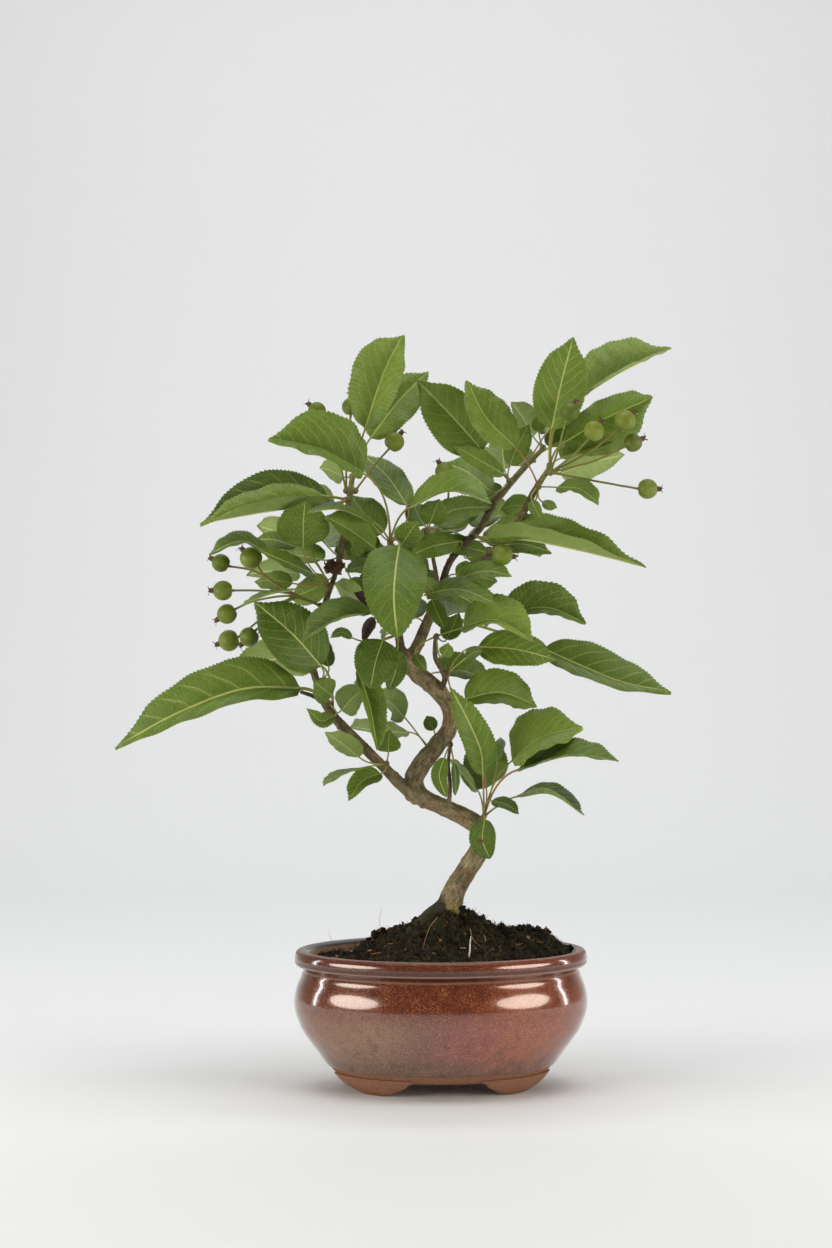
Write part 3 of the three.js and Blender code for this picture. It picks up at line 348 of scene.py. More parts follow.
class Finish:
    """A material whose nodes are added by one method, with short names for the ones used most."""

    def __init__(self, name):
        self.material = bpy.data.materials.new(name)
        self.material.use_nodes = True
        self.tree = self.material.node_tree
        self.tree.nodes.clear()

    def node(self, kind, settings=None, inputs=None, output=0):
        """Adds a node: settings first, since they can change its sockets, then values or links."""
        new = self.tree.nodes.new("ShaderNode" + kind)
        for key, value in (settings or {}).items():
            if key == "stops":
                self.set_stops(new.color_ramp.elements, value)
            else:
                setattr(new, key, value)
        for key, value in (inputs or {}).items():
            socket = new.inputs[key]
            if isinstance(value, Wire):
                self.tree.links.new(value.socket, socket)
            else:
                socket.default_value = value
        return Wire(self, new.outputs[output]) if new.outputs else None

    def set_stops(self, elements, stops):
        """Gives a colour ramp its stops, each a position and a screen colour."""
        while len(elements) < len(stops):
            elements.new(0.5)
        for element, (position, *colour) in zip(elements, stops):
            element.position = position
            element.color = rgb(*colour)

    def math(self, operation, *values):
        """One Math node on values, each a number or a wire."""
        return self.node("Math", {"operation": operation}, dict(enumerate(values)))

    def most(self, first, *others):
        """The largest of its values."""
        for other in others:
            first = self.math("MAXIMUM", first, other)
        return first

    def step(self, value, low, high, kind="SMOOTHSTEP"):
        """0 at low, 1 at high, smooth between and level beyond them. Low may be the larger one."""
        inputs = {"Value": value, "From Min": low, "From Max": high}
        return self.node("MapRange", {"interpolation_type": kind}, inputs)

    def band(self, value, rise, fall):
        """1 between a rise and a fall, each given as the two values that its slope runs between."""
        return self.step(value, *rise) * self.step(value, *fall)

    def mix(self, factor, a, b):
        """Colour a where factor is 0, and b where it is 1. Each is a wire or a screen colour."""
        a, b = (rgb(*c) if isinstance(c, tuple) else c for c in (a, b))
        return self.node("Mix", {"data_type": "RGBA"}, {0: factor, 6: a, 7: b}, 2)

    def ramp(self, value, *stops):
        """A colour for each value. A stop is (position, red, green, blue), in screen colours."""
        return self.node("ValToRGB", {"stops": stops}, {"Fac": value})

    def here(self):
        """The place on the object, in metres."""
        return self.node("TexCoord", output="Object")

    def part(self, vector, which):
        """X, Y or Z of a vector."""
        return self.node("SeparateXYZ", inputs={0: vector}, output=which)

    def vector_math(self, operation, vector, other):
        """A Vector Math node on a vector and three numbers."""
        return self.node("VectorMath", {"operation": operation}, {0: vector, 1: other})

    def field(self, name, output="Fac"):
        """A point attribute of the mesh: a number, or a vector with output Vector."""
        return self.node("Attribute", {"attribute_name": name}, output=output)

    def speckle(self, where, size, detail=2.0, roughness=0.5):
        """Noise with blotches about as large as size, in millimetres."""
        inputs = {"Vector": where, "Scale": 1000 / size, "Detail": detail, "Roughness": roughness}
        return self.node("TexNoise", inputs=inputs)

    def cells(self, where, size, feature="F1"):
        """Distance in Voronoi cells about as large as size, in millimetres."""
        return self.node("TexVoronoi", {"feature": feature}, {"Vector": where, "Scale": 1000 / size})

    def bump(self, height, distance, strength=1.0):
        """A normal tilted by a height map, whose full height is distance in millimetres."""
        return self.node("Bump", inputs={"Height": height, "Distance": distance / 1000, "Strength": strength})

    def surface(self, **sockets):
        """Links a Principled shader with these sockets to the output, and returns the material."""
        named = {key.replace("_", " "): value for key, value in sockets.items()}
        self.node("OutputMaterial", inputs={"Surface": self.node("BsdfPrincipled", inputs=named)})
        return self.material


def rgb(red, green, blue):
    """A screen colour from 0 to 255, as the linear light that shaders reckon in, fully opaque."""
    parts = (red / 255, green / 255, blue / 255)
    return (*(((v + 0.055) / 1.055) ** 2.4 if v > 0.04 else v / 12.92 for v in parts), 1)


def wear(material, *pieces):
    """Gives pieces one finish, in place of any that they had."""
    for piece in pieces:
        piece.data.materials.clear()
        piece.data.materials.append(material)
    print(f"{material.name}: nodes {len(material.node_tree.nodes)}, pieces {len(pieces)}")


print("a mid green in linear light:", [round(v, 3) for v in rgb(90, 125, 50)])

# %% [markdown]
# ## The studio
#
# A glossy pot shows the room it stands in. A pale floor that curves up into a wall lights the lower half
# of the bulge, a dim room behind the camera leaves the upper half deep brown, and large soft lamps draw
# the highlights. So the world stays dim, and the lamps do the lighting.

# %% Floor and backdrop
def make_backdrop():
    """A strip that runs flat towards the back, turns up on a quarter circle and ends as a wall."""
    bend, start, half_width, front, top = 900.0, 1000.0, 4500.0, -2600.0, 3200.0
    quarter = np.linspace(0, math.pi / 2, 24)[1:]
    floor = np.linspace(front, start, 12)
    ys = np.concatenate([floor, start + bend * np.sin(quarter), [start + bend]])
    zs = np.concatenate([np.zeros(len(floor)), bend * (1 - np.cos(quarter)), [top]])
    xs = np.linspace(-half_width, half_width, 9)
    x, y = np.meshgrid(xs, ys, indexing="ij")
    points = np.stack([x, y, np.broadcast_to(zs, x.shape)], -1).reshape(-1, 3)
    i, j = np.meshgrid(np.arange(len(xs) - 1), np.arange(len(ys) - 1), indexing="ij")
    a = (i * len(ys) + j).ravel()
    mesh = bpy.data.meshes.new("backdrop")
    faces = np.stack([a, a + len(ys), a + len(ys) + 1, a + 1], -1)
    mesh.from_pydata((points / 1000 + POT_MIDDLE).tolist(), [], faces.tolist())
    mesh.polygons.foreach_set("use_smooth", np.ones(len(mesh.polygons), bool))
    backdrop = new_object("backdrop", mesh)
    backdrop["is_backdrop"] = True
    paper = Finish("pale_paper")
    wear(paper.surface(Base_Color=(0.80, 0.80, 0.80, 1), Roughness=0.75), backdrop)


make_backdrop()

# %% Lamps
WARM, COOL, COOLER = (1, 0.95, 0.85), (0.96, 0.98, 1), (0.93, 0.97, 1)
LAMPS = [  # name, place, what it faces, width and height, watts, shape, colour
    ("left_softbox", (-1105, -638, 330), (0, 0, 150), (1020, 440), 10, "ELLIPSE", WARM),
    ("right_softbox", (1105, -638, 330), (0, 0, 150), (1020, 440), 9, "ELLIPSE", WARM),
    ("left_strip", (-1250, 240, 330), (0, 0, 200), (90, 620), 2.2, "RECTANGLE", COOLER),
    ("right_strip", (1250, 240, 330), (0, 0, 200), (90, 620), 2.2, "RECTANGLE", COOLER),
    ("top_softbox", (0, -150, 1900), (0, 0, 0), (1500, 1200), 21, "RECTANGLE", COOL),
    ("floor_wash", (0, 1150, 1500), (0, 1150, 0), (2200, 500), 9.8, "RECTANGLE", COOL),
]
ROOM_COLOUR, ROOM_STRENGTH = (0.30, 0.30, 0.31, 1), 0.32


def add_lamp(name, at, aim, size, watts, shape, colour):
    """A flat soft lamp at a place, turned to face another, both in millimetres. A lamp shines down its
    own -Z, so it is tipped from the upright by the angle of the way back, then turned about Z."""
    data = bpy.data.lights.new(name, "AREA")
    data.shape = shape
    data.size, data.size_y = size[0] / 1000, size[1] / 1000
    data.energy = watts
    data.color = colour
    lamp = new_object(name, data)
    lamp.location = POT_MIDDLE + np.array(at, float) / 1000
    away = np.array(at, float) - np.array(aim, float)
    tip = math.acos(away[2] / np.linalg.norm(away))
    lamp.rotation_euler = (tip, 0, math.atan2(away[0], -away[1]))


for row in LAMPS:
    add_lamp(*row)
world = bpy.data.worlds.new("dim_room")
world.use_nodes = True
room_light = world.node_tree.nodes["Background"].inputs
room_light["Color"].default_value = ROOM_COLOUR
room_light["Strength"].default_value = ROOM_STRENGTH
bpy.context.scene.world = world
bpy.context.scene.view_settings.view_transform = "Standard"
print("lamps:", len(LAMPS))

# %% [markdown]
# ## The pot
#
# The pot is oval stoneware: one profile carried round an ellipse, 0.78 as deep as it is wide, and turned
# a little about its middle. A rolled lip, a groove under it and a full belly give it its line. The
# profile is listed once, from the middle of the underside, up the outside, over the lip and down the
# inside to the middle of the floor.

# %% The pot's profile
POT_DEPTH = 0.78
POT_TURN = math.radians(4)
UNDERSIDE, FLOOR, GLAZE_FOOT = 8.0, 14.0, 12.7  # heights
OUTSIDE = [  # half the width, height
    (3, UNDERSIDE), (30, UNDERSIDE), (50, UNDERSIDE), (56.5, 8.1), (58.3, 9), (60.3, 10.8), (61.4, 12.2),
    (62.6, 12.7), (63.6, 13.8), (67.5, 19.3), (73, 26.6), (76.4, 31.5), (78.8, 36.8), (80.5, 42),
    (81, 46.5), (80.8, 49.8), (80.25, 52.8), (79.5, 55.6), (78.5, 58.2), (77.75, 59.9), (77.25, 61.1),
    (77, 62), (76.8, 62.9), (76.45, 63.7), (75.9, 64.4), (75.3, 64.9), (75.2, 65.5), (76, 66),
    (77.6, 66.5), (79.2, 67.1), (80.2, 67.9), (80.7, 69), (80.85, 70.6), (80.65, 72.4), (80.1, 74),
    (79.1, 75.1), (77.4, 75.6),
]
INSIDE = [
    (75.6, 75.4), (74.1, 74.5), (73.2, 73), (71.7, 69.5), (71.2, 66), (72.6, 59), (74.4, 52), (74.6, 45),
    (73.6, 38), (70.6, 31), (66, 25), (59, 18.2), (50, 14.4), (40, FLOOR), (3, FLOOR),
]
STATIONS, CORNERS_AROUND = 190, 216


def turned(x, y, z):
    """A place in the pot's own x and y, turned with the pot."""
    c, s = math.cos(POT_TURN), math.sin(POT_TURN)
    return np.stack(np.broadcast_arrays(x * c - y * s, x * s + y * c, z), axis=-1)


def oval(half_width, turn):
    """The pot's own x and y: half the width times cosine, and half the depth times sine."""
    return half_width * np.cos(turn), POT_DEPTH * half_width * np.sin(turn)


def even_steps(line, count):
    """The same line cut into count steps of equal length."""
    length = np.concatenate([[0], np.cumsum(np.linalg.norm(np.diff(line, axis=0), axis=1))])
    want = np.linspace(0, length[-1], count)
    return np.stack([np.interp(want, length, line[:, k]) for k in range(line.shape[1])], -1)


profile_line = spline([(w, 0, h) for w, h in OUTSIDE + INSIDE], np.linspace(0, 1, 2400))
profile = even_steps(profile_line[:, [0, 2]], STATIONS)
lip = int(np.argmax(profile[:, 1]))
inner = np.arange(len(profile)) > lip
around = 2 * np.pi * np.arange(CORNERS_AROUND) / CORNERS_AROUND
pot_rings = turned(*oval(profile[:, :1], around[None]), profile[:, 1:])
pot_body = loft(pot_rings, inside=inner[:, None] * 1.0)
print("profile stations:", len(profile), "of which inside:", int(inner.sum()))

# %% [markdown]
# Two drain holes go through the floor, under the plastic mesh that keeps the soil in. A Boolean modifier
# cuts them, since a hole square through a wall is the one shape that a row of rings can't have.

# %% Drain holes
DRAIN_ACROSS, DRAIN_RADIUS = 30, 6


def make_drain_cutter():
    """Two upright cylinders through the floor."""
    ends = np.array([UNDERSIDE - 3, FLOOR + 3])
    middles = [turned(side * DRAIN_ACROSS, 0, ends) for side in (-1, 1)]
    return gather([tube(middle, [DRAIN_RADIUS] * 2, 40) for middle in middles])


def finished(piece):
    """Replaces a piece's mesh by what its modifiers make, and drops them."""
    bpy.context.view_layer.update()
    shown = piece.evaluated_get(bpy.context.evaluated_depsgraph_get())
    mesh = bpy.data.meshes.new_from_object(shown)
    piece.modifiers.clear()
    piece.data = mesh


pot = add_piece("pot_body", pot_body, ["pot"])
cutter = add_piece("drain_cutter", make_drain_cutter())
holes = pot.modifiers.new("drain_holes", "BOOLEAN")
holes.operation, holes.solver, holes.object = "DIFFERENCE", "EXACT", cutter
finished(pot)
bpy.data.objects.remove(cutter)
pot.data.set_sharp_from_angle(angle=math.radians(50))
print("pot faces after cutting:", len(pot.data.polygons))

# %% [markdown]
# The feet are four lobes of one ring of clay under the body. Each point of the ring's underside rises
# where the ring nears the way between two feet, along a rounded curve, until it meets the body.

# %% Feet
FOOT_TOP = 9.8
FOOT_OUTSIDE = ([0, 0.6, 2.2, 5, FOOT_TOP], [51.6, 53, 54.8, 57.4, 60.6])  # heights, half-widths there
FOOT_INSIDE = ([0, FOOT_TOP], [37.5, 40])
FOOT_SPAN = (11, 71.5)  # degrees round the first quarter of the oval
ARCH_HEIGHT, ARCH_POWER = 8.4, 1.3
ARCH_ACROSS, ARCH_BACK = (20, 34), (9, 25)  # where each way between two feet is full height, and ends


def lobe(distance, near, far):
    """Height of the underside: 0 beyond far, then a superellipse up to the arch's height at near."""
    u = np.clip((far - distance) / (far - near), 0, 1)
    return ARCH_HEIGHT * (1 - (1 - u**ARCH_POWER) ** (1 / ARCH_POWER))


def underside(half_width, turn):
    """The higher of the two ways' curves, the front-to-back one and the side-to-side one."""
    x, y = oval(half_width, turn)
    return np.maximum(lobe(abs(x), *ARCH_ACROSS), lobe(abs(y), *ARCH_BACK))


def make_foot(quarter):
    """Sections across the ring: down the outer wall, in under the foot and up the inner wall."""
    turn = np.radians(np.linspace(*FOOT_SPAN, 84))
    turn = [turn, np.pi - turn, np.pi + turn, -turn][quarter][:, None]
    k = np.linspace(0, 1, 9)[None]
    outer_low, inner_low = underside(52, turn), underside(38, turn)
    outer_z = FOOT_TOP + (outer_low - FOOT_TOP) * k
    outer_w = np.interp(outer_z, *FOOT_OUTSIDE)
    inner_z = inner_low + (FOOT_TOP - inner_low) * k
    inner_w = np.interp(inner_z, *FOOT_INSIDE)
    k = np.linspace(0, 1, 12)[None, 1:-1]
    sole_w = outer_w[:, -1:] + (inner_w[:, :1] - outer_w[:, -1:]) * k
    half_width = np.concatenate([outer_w, sole_w, inner_w], 1)
    height = np.concatenate([outer_z, underside(sole_w, turn), inner_z], 1)
    return loft(turned(*oval(half_width, turn), height))


feet = add_piece("pot_feet", gather([make_foot(quarter) for quarter in range(4)]), ["pot"], sharp=55)

# %% [markdown]
# The glaze is a copper red that broke while it cooled: grains of gold and rust lie in deep red brown.
# Over the lower belly it is paler, tan on the left, rose in the middle and orange on the right. This is
# partly the glaze's own colour and partly a painted reflection of the pale floor. It runs thin and grey on
# every edge, and stops above the feet, where the bare clay begins. Under it all the body is the same fired
# clay, so one material wears both and picks by height. The clay down the inside is painted paler, as
# painted light in the pot's shaded inside.

# %% Glaze and clay
def make_glaze():
    glaze = Finish("copper_red_glaze")
    here = glaze.here()
    x = (glaze.part(here, "X") - float(POT_MIDDLE[0])) * 1000
    z = glaze.part(here, "Z") * 1000
    inside = glaze.field("inside")
    cloud = glaze.speckle(here, 38, 3, 0.55)
    blotch = glaze.speckle(here, 7, 4, 0.62)
    grain = glaze.speckle(here, 0.75, 3, 0.7)
    fine = glaze.speckle(here, 0.42, 2, 0.6)

    # the lower belly is paler: tan, rose and orange from left to right, partly the glaze's own colour
    # and partly a painted reflection of the pale floor
    drift = (cloud - 0.5) * 46 + (blotch - 0.5) * 34
    hue = glaze.ramp(
        glaze.step(x + drift, -70, 70, "LINEAR"),
        (0.0, 122, 84, 66), (0.24, 140, 106, 84), (0.42, 118, 82, 70),
        (0.6, 138, 74, 70), (0.8, 154, 82, 58), (1.0, 134, 72, 54),
    )
    deep = glaze.ramp(
        glaze.step(x + drift, -60, 70, "LINEAR"),
        (0.0, 98, 46, 28), (0.5, 104, 44, 22), (0.8, 132, 60, 28), (1.0, 122, 58, 32),
    )
    low_tint_and_painted_reflection = glaze.step(z + (cloud - 0.5) * 9 + (blotch - 0.5) * 12 + (grain - 0.5) * 6, 51, 37)
    colour = glaze.mix(low_tint_and_painted_reflection, deep, hue)
    # greyer and darker towards the foot of the belly
    darker_low_belly = glaze.step(z + (cloud - 0.5) * 20 + (blotch - 0.5) * 26, 30, 14) * 0.7
    colour = glaze.mix(darker_low_belly, colour, (94, 78, 64))
    gold = glaze.step(grain * 0.75 + blotch * 0.25, 0.5, 0.66) * (0.6 - 0.1 * low_tint_and_painted_reflection)
    colour = glaze.mix(gold, colour, glaze.mix(low_tint_and_painted_reflection, (190, 124, 74), (186, 140, 108)))
    rust = glaze.step(grain * 0.7 + fine * 0.3, 0.5, 0.34) * (0.95 - 0.25 * low_tint_and_painted_reflection)
    colour = glaze.mix(rust, colour, (58, 22, 13))
    dusk = glaze.step(blotch, 0.46, 0.3) * 0.4
    colour = glaze.mix(dusk, colour, (70, 34, 24))
    colour = glaze.mix(glaze.step(fine, 0.56, 0.7) * 0.35, colour, (206, 158, 120))
    colour = glaze.mix(glaze.step(fine, 0.44, 0.3) * 0.45, colour, (52, 24, 16))

    # painted shade: darker on the lip's face and in the groove under it, and a little darker over the whole
    # lip
    shaded = glaze.band(z, (68.2, 68.8), (71.6, 70)) + glaze.band(z, (65.0, 65.5), (67.2, 66.8))
    colour = glaze.mix(shaded * 0.6, colour, (44, 20, 12))
    colour = glaze.mix(glaze.step(z, 67, 68) * 0.25, colour, (52, 26, 18))

    # thin glaze on the edges: the lip's lower corner, the groove's lower edge and the lip's crown
    wobble = (cloud - 0.5) * 0.9 + (grain - 0.5) * 1.0
    corner = 1 - glaze.step(abs(z - 67.7 + wobble * 0.3), 0.2, 0.65)
    shoulder = 1 - glaze.step(abs(z - 64.2 + wobble * 0.3), 0.25, 0.75)
    crown = glaze.step(z + wobble * 0.8, 75.0, 75.5)
    thin = glaze.most(corner * 0.75, shoulder * 0.55, crown * 0.3) * (0.55 + fine * 0.8)
    colour = glaze.mix(thin, colour, (150, 128, 116))

    # bare clay under the glaze's foot and down the inside
    ragged = z + (cloud - 0.5) * 1.2 + (grain - 0.5) * 0.6
    foot = 1 - glaze.step(ragged, GLAZE_FOOT - 0.15, GLAZE_FOOT + 0.15)
    within = inside * (1 - glaze.step(z + wobble * 2.4, 72.6, 73.6))
    lip_glaze = glaze.mix(inside * glaze.step(z, 72, 74.5) * 0.75, colour, (134, 138, 142))
    clay_grain = glaze.speckle(here, 0.9, 4, 0.7)
    clay = glaze.ramp(clay_grain, (0.3, 108, 70, 48), (0.5, 136, 92, 68), (0.72, 166, 120, 92))
    # painted light: the clay down the inside is much paler than outside, as if the pot's shaded inside were
    # lit
    clay = glaze.mix(inside * 0.85, clay, glaze.mix(clay_grain, (186, 124, 84), (240, 198, 160)))
    bare = glaze.most(foot, within)
    colour = glaze.mix(bare, lip_glaze, clay)
    relief = (fine * 0.25 + grain * 0.35) * (1 - bare) + clay_grain * bare

    # the glaze shines less on the crown of the lip, and from the groove under it up to the lip's face
    dull = glaze.most(glaze.step(z, 73.4, 74.6), glaze.band(z, (64.6, 65.4), (70.4, 69.4)) * 0.6)
    return glaze.surface(
        Base_Color=colour,
        Roughness=0.08 + grain * 0.16 + dull * 0.25 + bare * 0.5,
        Metallic=(1 - bare) * 0.1,
        Coat_Weight=(1 - bare) * (0.8 - dull * 0.7),
        Coat_Roughness=0.05,
        Normal=glaze.bump(relief, 0.1, 0.6),
    )


wear(make_glaze(), pot, feet)

# %% [markdown]
# The plastic mesh over each drain hole is already the right shape, so the model's own pieces stay and
# only get a finish: black polyethylene with a faint moulded grain.

# %% Drain mesh
def make_black_plastic():
    plastic = Finish("black_mesh_plastic")
    grain = plastic.speckle(plastic.here(), 0.8, 3)
    shade = plastic.ramp(grain, (0.3, 26, 28, 27), (0.7, 44, 47, 45))
    normal = plastic.bump(grain, 0.05)
    return plastic.surface(Base_Color=shade, Roughness=0.5 + grain * 0.2, Normal=normal)


wear(make_black_plastic(), *(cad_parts[name] for name in ("drain_mesh_left", "drain_mesh_right")))

# %% [markdown]
# ## The soil
#
# The soil is heaped up to the trunk and sinks towards the wall. Its surface is three things at once: a
# lumpy ground, loose clods and crumbs that lie on it, and short moss and fibres that grow in patches.
# The ground is a height over the oval. The rest is scattered by seeded draws, so that it falls the same
# way every time.

# %% Ground
SOIL_HALF = 72.2  # half its width
SOIL_EDGE, SOIL_CROWN, SOIL_LEAN = 71.3, 12.7, 0.025
MOUND_ACROSS, MOUND_HEIGHT, MOUND_SPREAD = 4, 12.5, 19
SOIL_NOISE = [(2.0, 8.5), (2.6, 4.1), (1.7, 2.0), (0.8, 1.0)]  # height and cell size
BURIED = [(4, 15.8), (52, 15.8), (65.4, 25.2), (73, 38), (73.9, 50), (71.6, 62)]  # half the width, height
LUMPS = [  # across, back, height, spread
    (-38, 2, 3.6, 7), (-26, 6, 3.2, 9), (-12, -6, 2.4, 8), (18, 4, 2.6, 9), (31, 10, 2.8, 8),
    (49, 6, 3.4, 8), (60, 2, 2.2, 6), (22, -16, 2.6, 8), (-20, -22, 1.8, 9), (44, -14, 2, 9),
    (-49, 0, -5, 12), (-50, 26, -10, 15), (-46, 40, -9, 15), (-14, -2, -3.5, 9), (57, 8, 3, 8),
    (-14, -8, 3.5, 7), (-4, -9, 2.5, 6),
]


def soil_height(x, y, rho):
    """Edge height, plus a crown that falls with the cube of rho, which is 0 in the middle and 1 at the
    wall, a lean, the bell-shaped mound, bell-shaped lumps, and four noises that fade at the wall."""
    heap = np.hypot(x - MOUND_ACROSS, y * 1.1) / MOUND_SPREAD
    height = SOIL_EDGE + SOIL_CROWN * (1 - rho**3) + SOIL_LEAN * x + MOUND_HEIGHT * np.exp(-(heap**2))
    for lump_x, lump_y, rise, spread in LUMPS:
        height = height + rise * np.exp(-(((x - lump_x) ** 2 + (y - lump_y) ** 2) / spread**2))
    flat = np.stack([x, y, 0 * x], -1)
    rough = sum(rise * noise(flat, cell, seed) for seed, (rise, cell) in enumerate(SOIL_NOISE, start=1))
    return height + rough * np.clip(5 * (1 - rho) + 0.12, 0, 1)


def soil_top(x, y, most):
    """Height of the soil at a place, read at rho = most where the place lies further out."""
    x, y = np.atleast_1d(x, y)
    return soil_height(x, y, np.minimum(np.hypot(x, y / POT_DEPTH) / SOIL_HALF, most))


def make_ground():
    """Rings from the middle of the underside, out and up the walls, and in over the top."""
    turn = 2 * np.pi * np.arange(280) / 280
    rings = [turned(*oval(half_width, turn), height) for half_width, height in BURIED]
    for rho in np.concatenate([[1.0], np.linspace(0.985, 0.02, 92)]):
        x, y = oval(SOIL_HALF * rho, turn)
        rings.append(turned(x, y, soil_height(x, y, rho)))
    return loft(np.array(rings))


soil = add_piece("soil_ground", make_ground(), ["soil"])

# %% [markdown]
# A clod is a ball with twenty faces, or eighty for the larger ones, whose corners are pushed in and out
# at random. All clods of one kind are made in one array sum: (clod, corner, xyz).

# %% Clods and crumbs
GOLDEN = (1 + 5**0.5) / 2
ICO_CORNERS = [
    (-1, GOLDEN, 0), (1, GOLDEN, 0), (-1, -GOLDEN, 0), (1, -GOLDEN, 0), (0, -1, GOLDEN), (0, 1, GOLDEN),
    (0, -1, -GOLDEN), (0, 1, -GOLDEN), (GOLDEN, 0, -1), (GOLDEN, 0, 1), (-GOLDEN, 0, -1), (-GOLDEN, 0, 1),
]
ICO_FACES = [
    (0, 11, 5), (0, 5, 1), (0, 1, 7), (0, 7, 10), (0, 10, 11), (1, 5, 9), (5, 11, 4), (11, 10, 2),
    (10, 7, 6), (7, 1, 8), (3, 9, 4), (3, 4, 2), (3, 2, 6), (3, 6, 8), (3, 8, 9), (4, 9, 5), (2, 4, 11),
    (6, 2, 10), (8, 6, 7), (9, 8, 1),
]
draw = np.random.default_rng(41)


def ball(fineness):
    """Corners and faces of an icosahedron, each face cut in four once per step of fineness. The middle
    of an edge is a new corner, numbered in the order in which the faces first meet it."""
    corners, faces = unit(np.array(ICO_CORNERS)), np.array(ICO_FACES)
    for _ in range(fineness):
        edges = np.sort(np.stack([faces, np.roll(faces, -1, axis=1)], -1), axis=-1).reshape(-1, 2)
        edges, first_met, which = np.unique(edges, axis=0, return_index=True, return_inverse=True)
        order = np.argsort(first_met)
        number = len(corners) + np.argsort(order)
        ab, bc, ca = number[which.reshape(-1, 3)].T
        a, b, c = faces.T
        middles = unit(corners[edges[order, 0]] + corners[edges[order, 1]])
        corners = np.concatenate([corners, middles])
        finer = [(a, ab, ca), (b, bc, ab), (c, ca, bc), (ab, bc, ca)]
        faces = np.stack([np.stack(face, -1) for face in finer], 1).reshape(-1, 3)
    return corners, faces


def repeated(points, faces, shade):
    """Small bodies of one kind as one: points as (body, corner, xyz), faces of one, a shade for each."""
    count, corners = points.shape[:2]
    faces = faces[None] + (np.arange(count) * corners)[:, None, None]
    shade = np.repeat(shade, corners)
    return {"points": points.reshape(-1, 3), "faces": [faces.reshape(-1, 3)], "shade": shade}


def on_soil(count, spread=1.0):
    """Random spots on the soil: even over the oval, with rho the square root of an even draw."""
    rho = np.sqrt(draw.uniform(0.0, 0.955 * spread, count))
    turn = draw.uniform(0, 2 * np.pi, count)
    x, y = oval(SOIL_HALF * rho, turn)
    return x, y, soil_height(x, y, rho)


def scattered(count, smallest, largest, fineness, jag, spots=None):
    """Lumps of random size, sunk to about a third, at given spots or anywhere on the soil. Small ones
    are commoner, because the even draw is raised to a power."""
    corners, faces = ball(fineness)
    x, y, z = spots or on_soil(count)
    size = smallest + (largest - smallest) * draw.uniform(0, 1, count) ** 2.2
    shape = size[:, None, None] * draw.uniform(0.7, 1.25, (count, 1, 3)) / 2
    points = corners[None] * shape * (1 + jag * draw.uniform(-1, 1, (count, len(corners), 1)))
    points = points + turned(x, y, z + size * 0.12)[:, None]
    return repeated(points, faces, draw.uniform(0, 1, count) / (1 + 0.6 * fineness))


clods = gather([
    scattered(2400, 0.6, 2.4, 0, 0.35),
    scattered(300, 2.0, 5.0, 1, 0.42),
])
crumbs = add_piece("soil_crumbs", clods, sharp=35)

# %% [markdown]
# Moss and fibres are thin three-sided spikes. Moss stands in tufts, greenest on the mound's near side
# and along the right, and fibres of peat lie nearly flat and brown among the crumbs.

# %% Moss and fibres
THIRDS = np.array([0, 2.094, 4.189])  # of a full turn
SPIKE_FACES = np.array([  # corners 0 to 2 at the foot, 3 to 5 halfway, 6 at the tip
    (0, 1, 4), (0, 4, 3), (1, 2, 5), (1, 5, 4), (2, 0, 3),
    (2, 3, 5), (3, 4, 6), (4, 5, 6), (5, 3, 6), (2, 1, 0),
])


def spikes(x, y, z, length, lean, thick, shade):
    """Bent three-sided spikes: a triangle at the foot, a smaller one halfway and a tip, leaning by an
    angle that grows along the spike."""
    way = draw.uniform(0, 2 * np.pi, len(x))[:, None]
    flat = np.concatenate([np.cos(way), np.sin(way), 0 * way], 1)
    length, lean = length[:, None], lean[:, None]
    foot = turned(x, y, z - 0.3)
    half = foot + 0.55 * length * (flat * np.sin(lean * 0.7) + UP * np.cos(lean * 0.7))
    tip = half + 0.45 * length * (flat * np.sin(lean * 1.3) + UP * np.cos(lean * 1.3))
    turn = way + THIRDS[None]
    ring = np.stack([np.cos(turn), np.sin(turn), 0 * turn], -1) * thick[:, None, None]
    points = np.concatenate([foot[:, None] + ring, half[:, None] + ring * 0.7, tip[:, None]], 1)
    return repeated(points, SPIKE_FACES, shade)


def moss_tufts(count, each):
    """Tufts of moss spikes round random spots, kept where a wide noise runs high."""
    x, y, _ = on_soil(count * 3, 0.93)
    keep = noise(np.stack([x, y, 0 * x], -1), 16, 9) + 0.25 * np.sign(x + 6) + 0.15 * (y < 4) > 0.02
    x, y = x[keep][:count], y[keep][:count]
    x = np.repeat(x, each) + draw.normal(0, 1.2, len(x) * each)
    y = np.repeat(y, each) + draw.normal(0, 1.2, len(y) * each)
    z = soil_top(x, y, 0.99)
    size = len(x)
    return spikes(x, y, z, draw.uniform(1.2, 3.4, size), draw.uniform(0.1, 1.1, size),
                  draw.uniform(0.14, 0.3, size), draw.uniform(0.35, 1, size))


def peat_fibres(count):
    """Longer, thinner and browner spikes that lean further, anywhere on the soil."""
    x, y, z = on_soil(count)
    return spikes(x, y, z + 0.5, draw.uniform(1.5, 6, count), draw.uniform(0.6, 1.5, count),
                  draw.uniform(0.09, 0.24, count), draw.uniform(0, 0.3, count) ** 1.3)


moss = add_piece("soil_moss", gather([moss_tufts(420, 13), peat_fibres(1900)]), sharp=40)
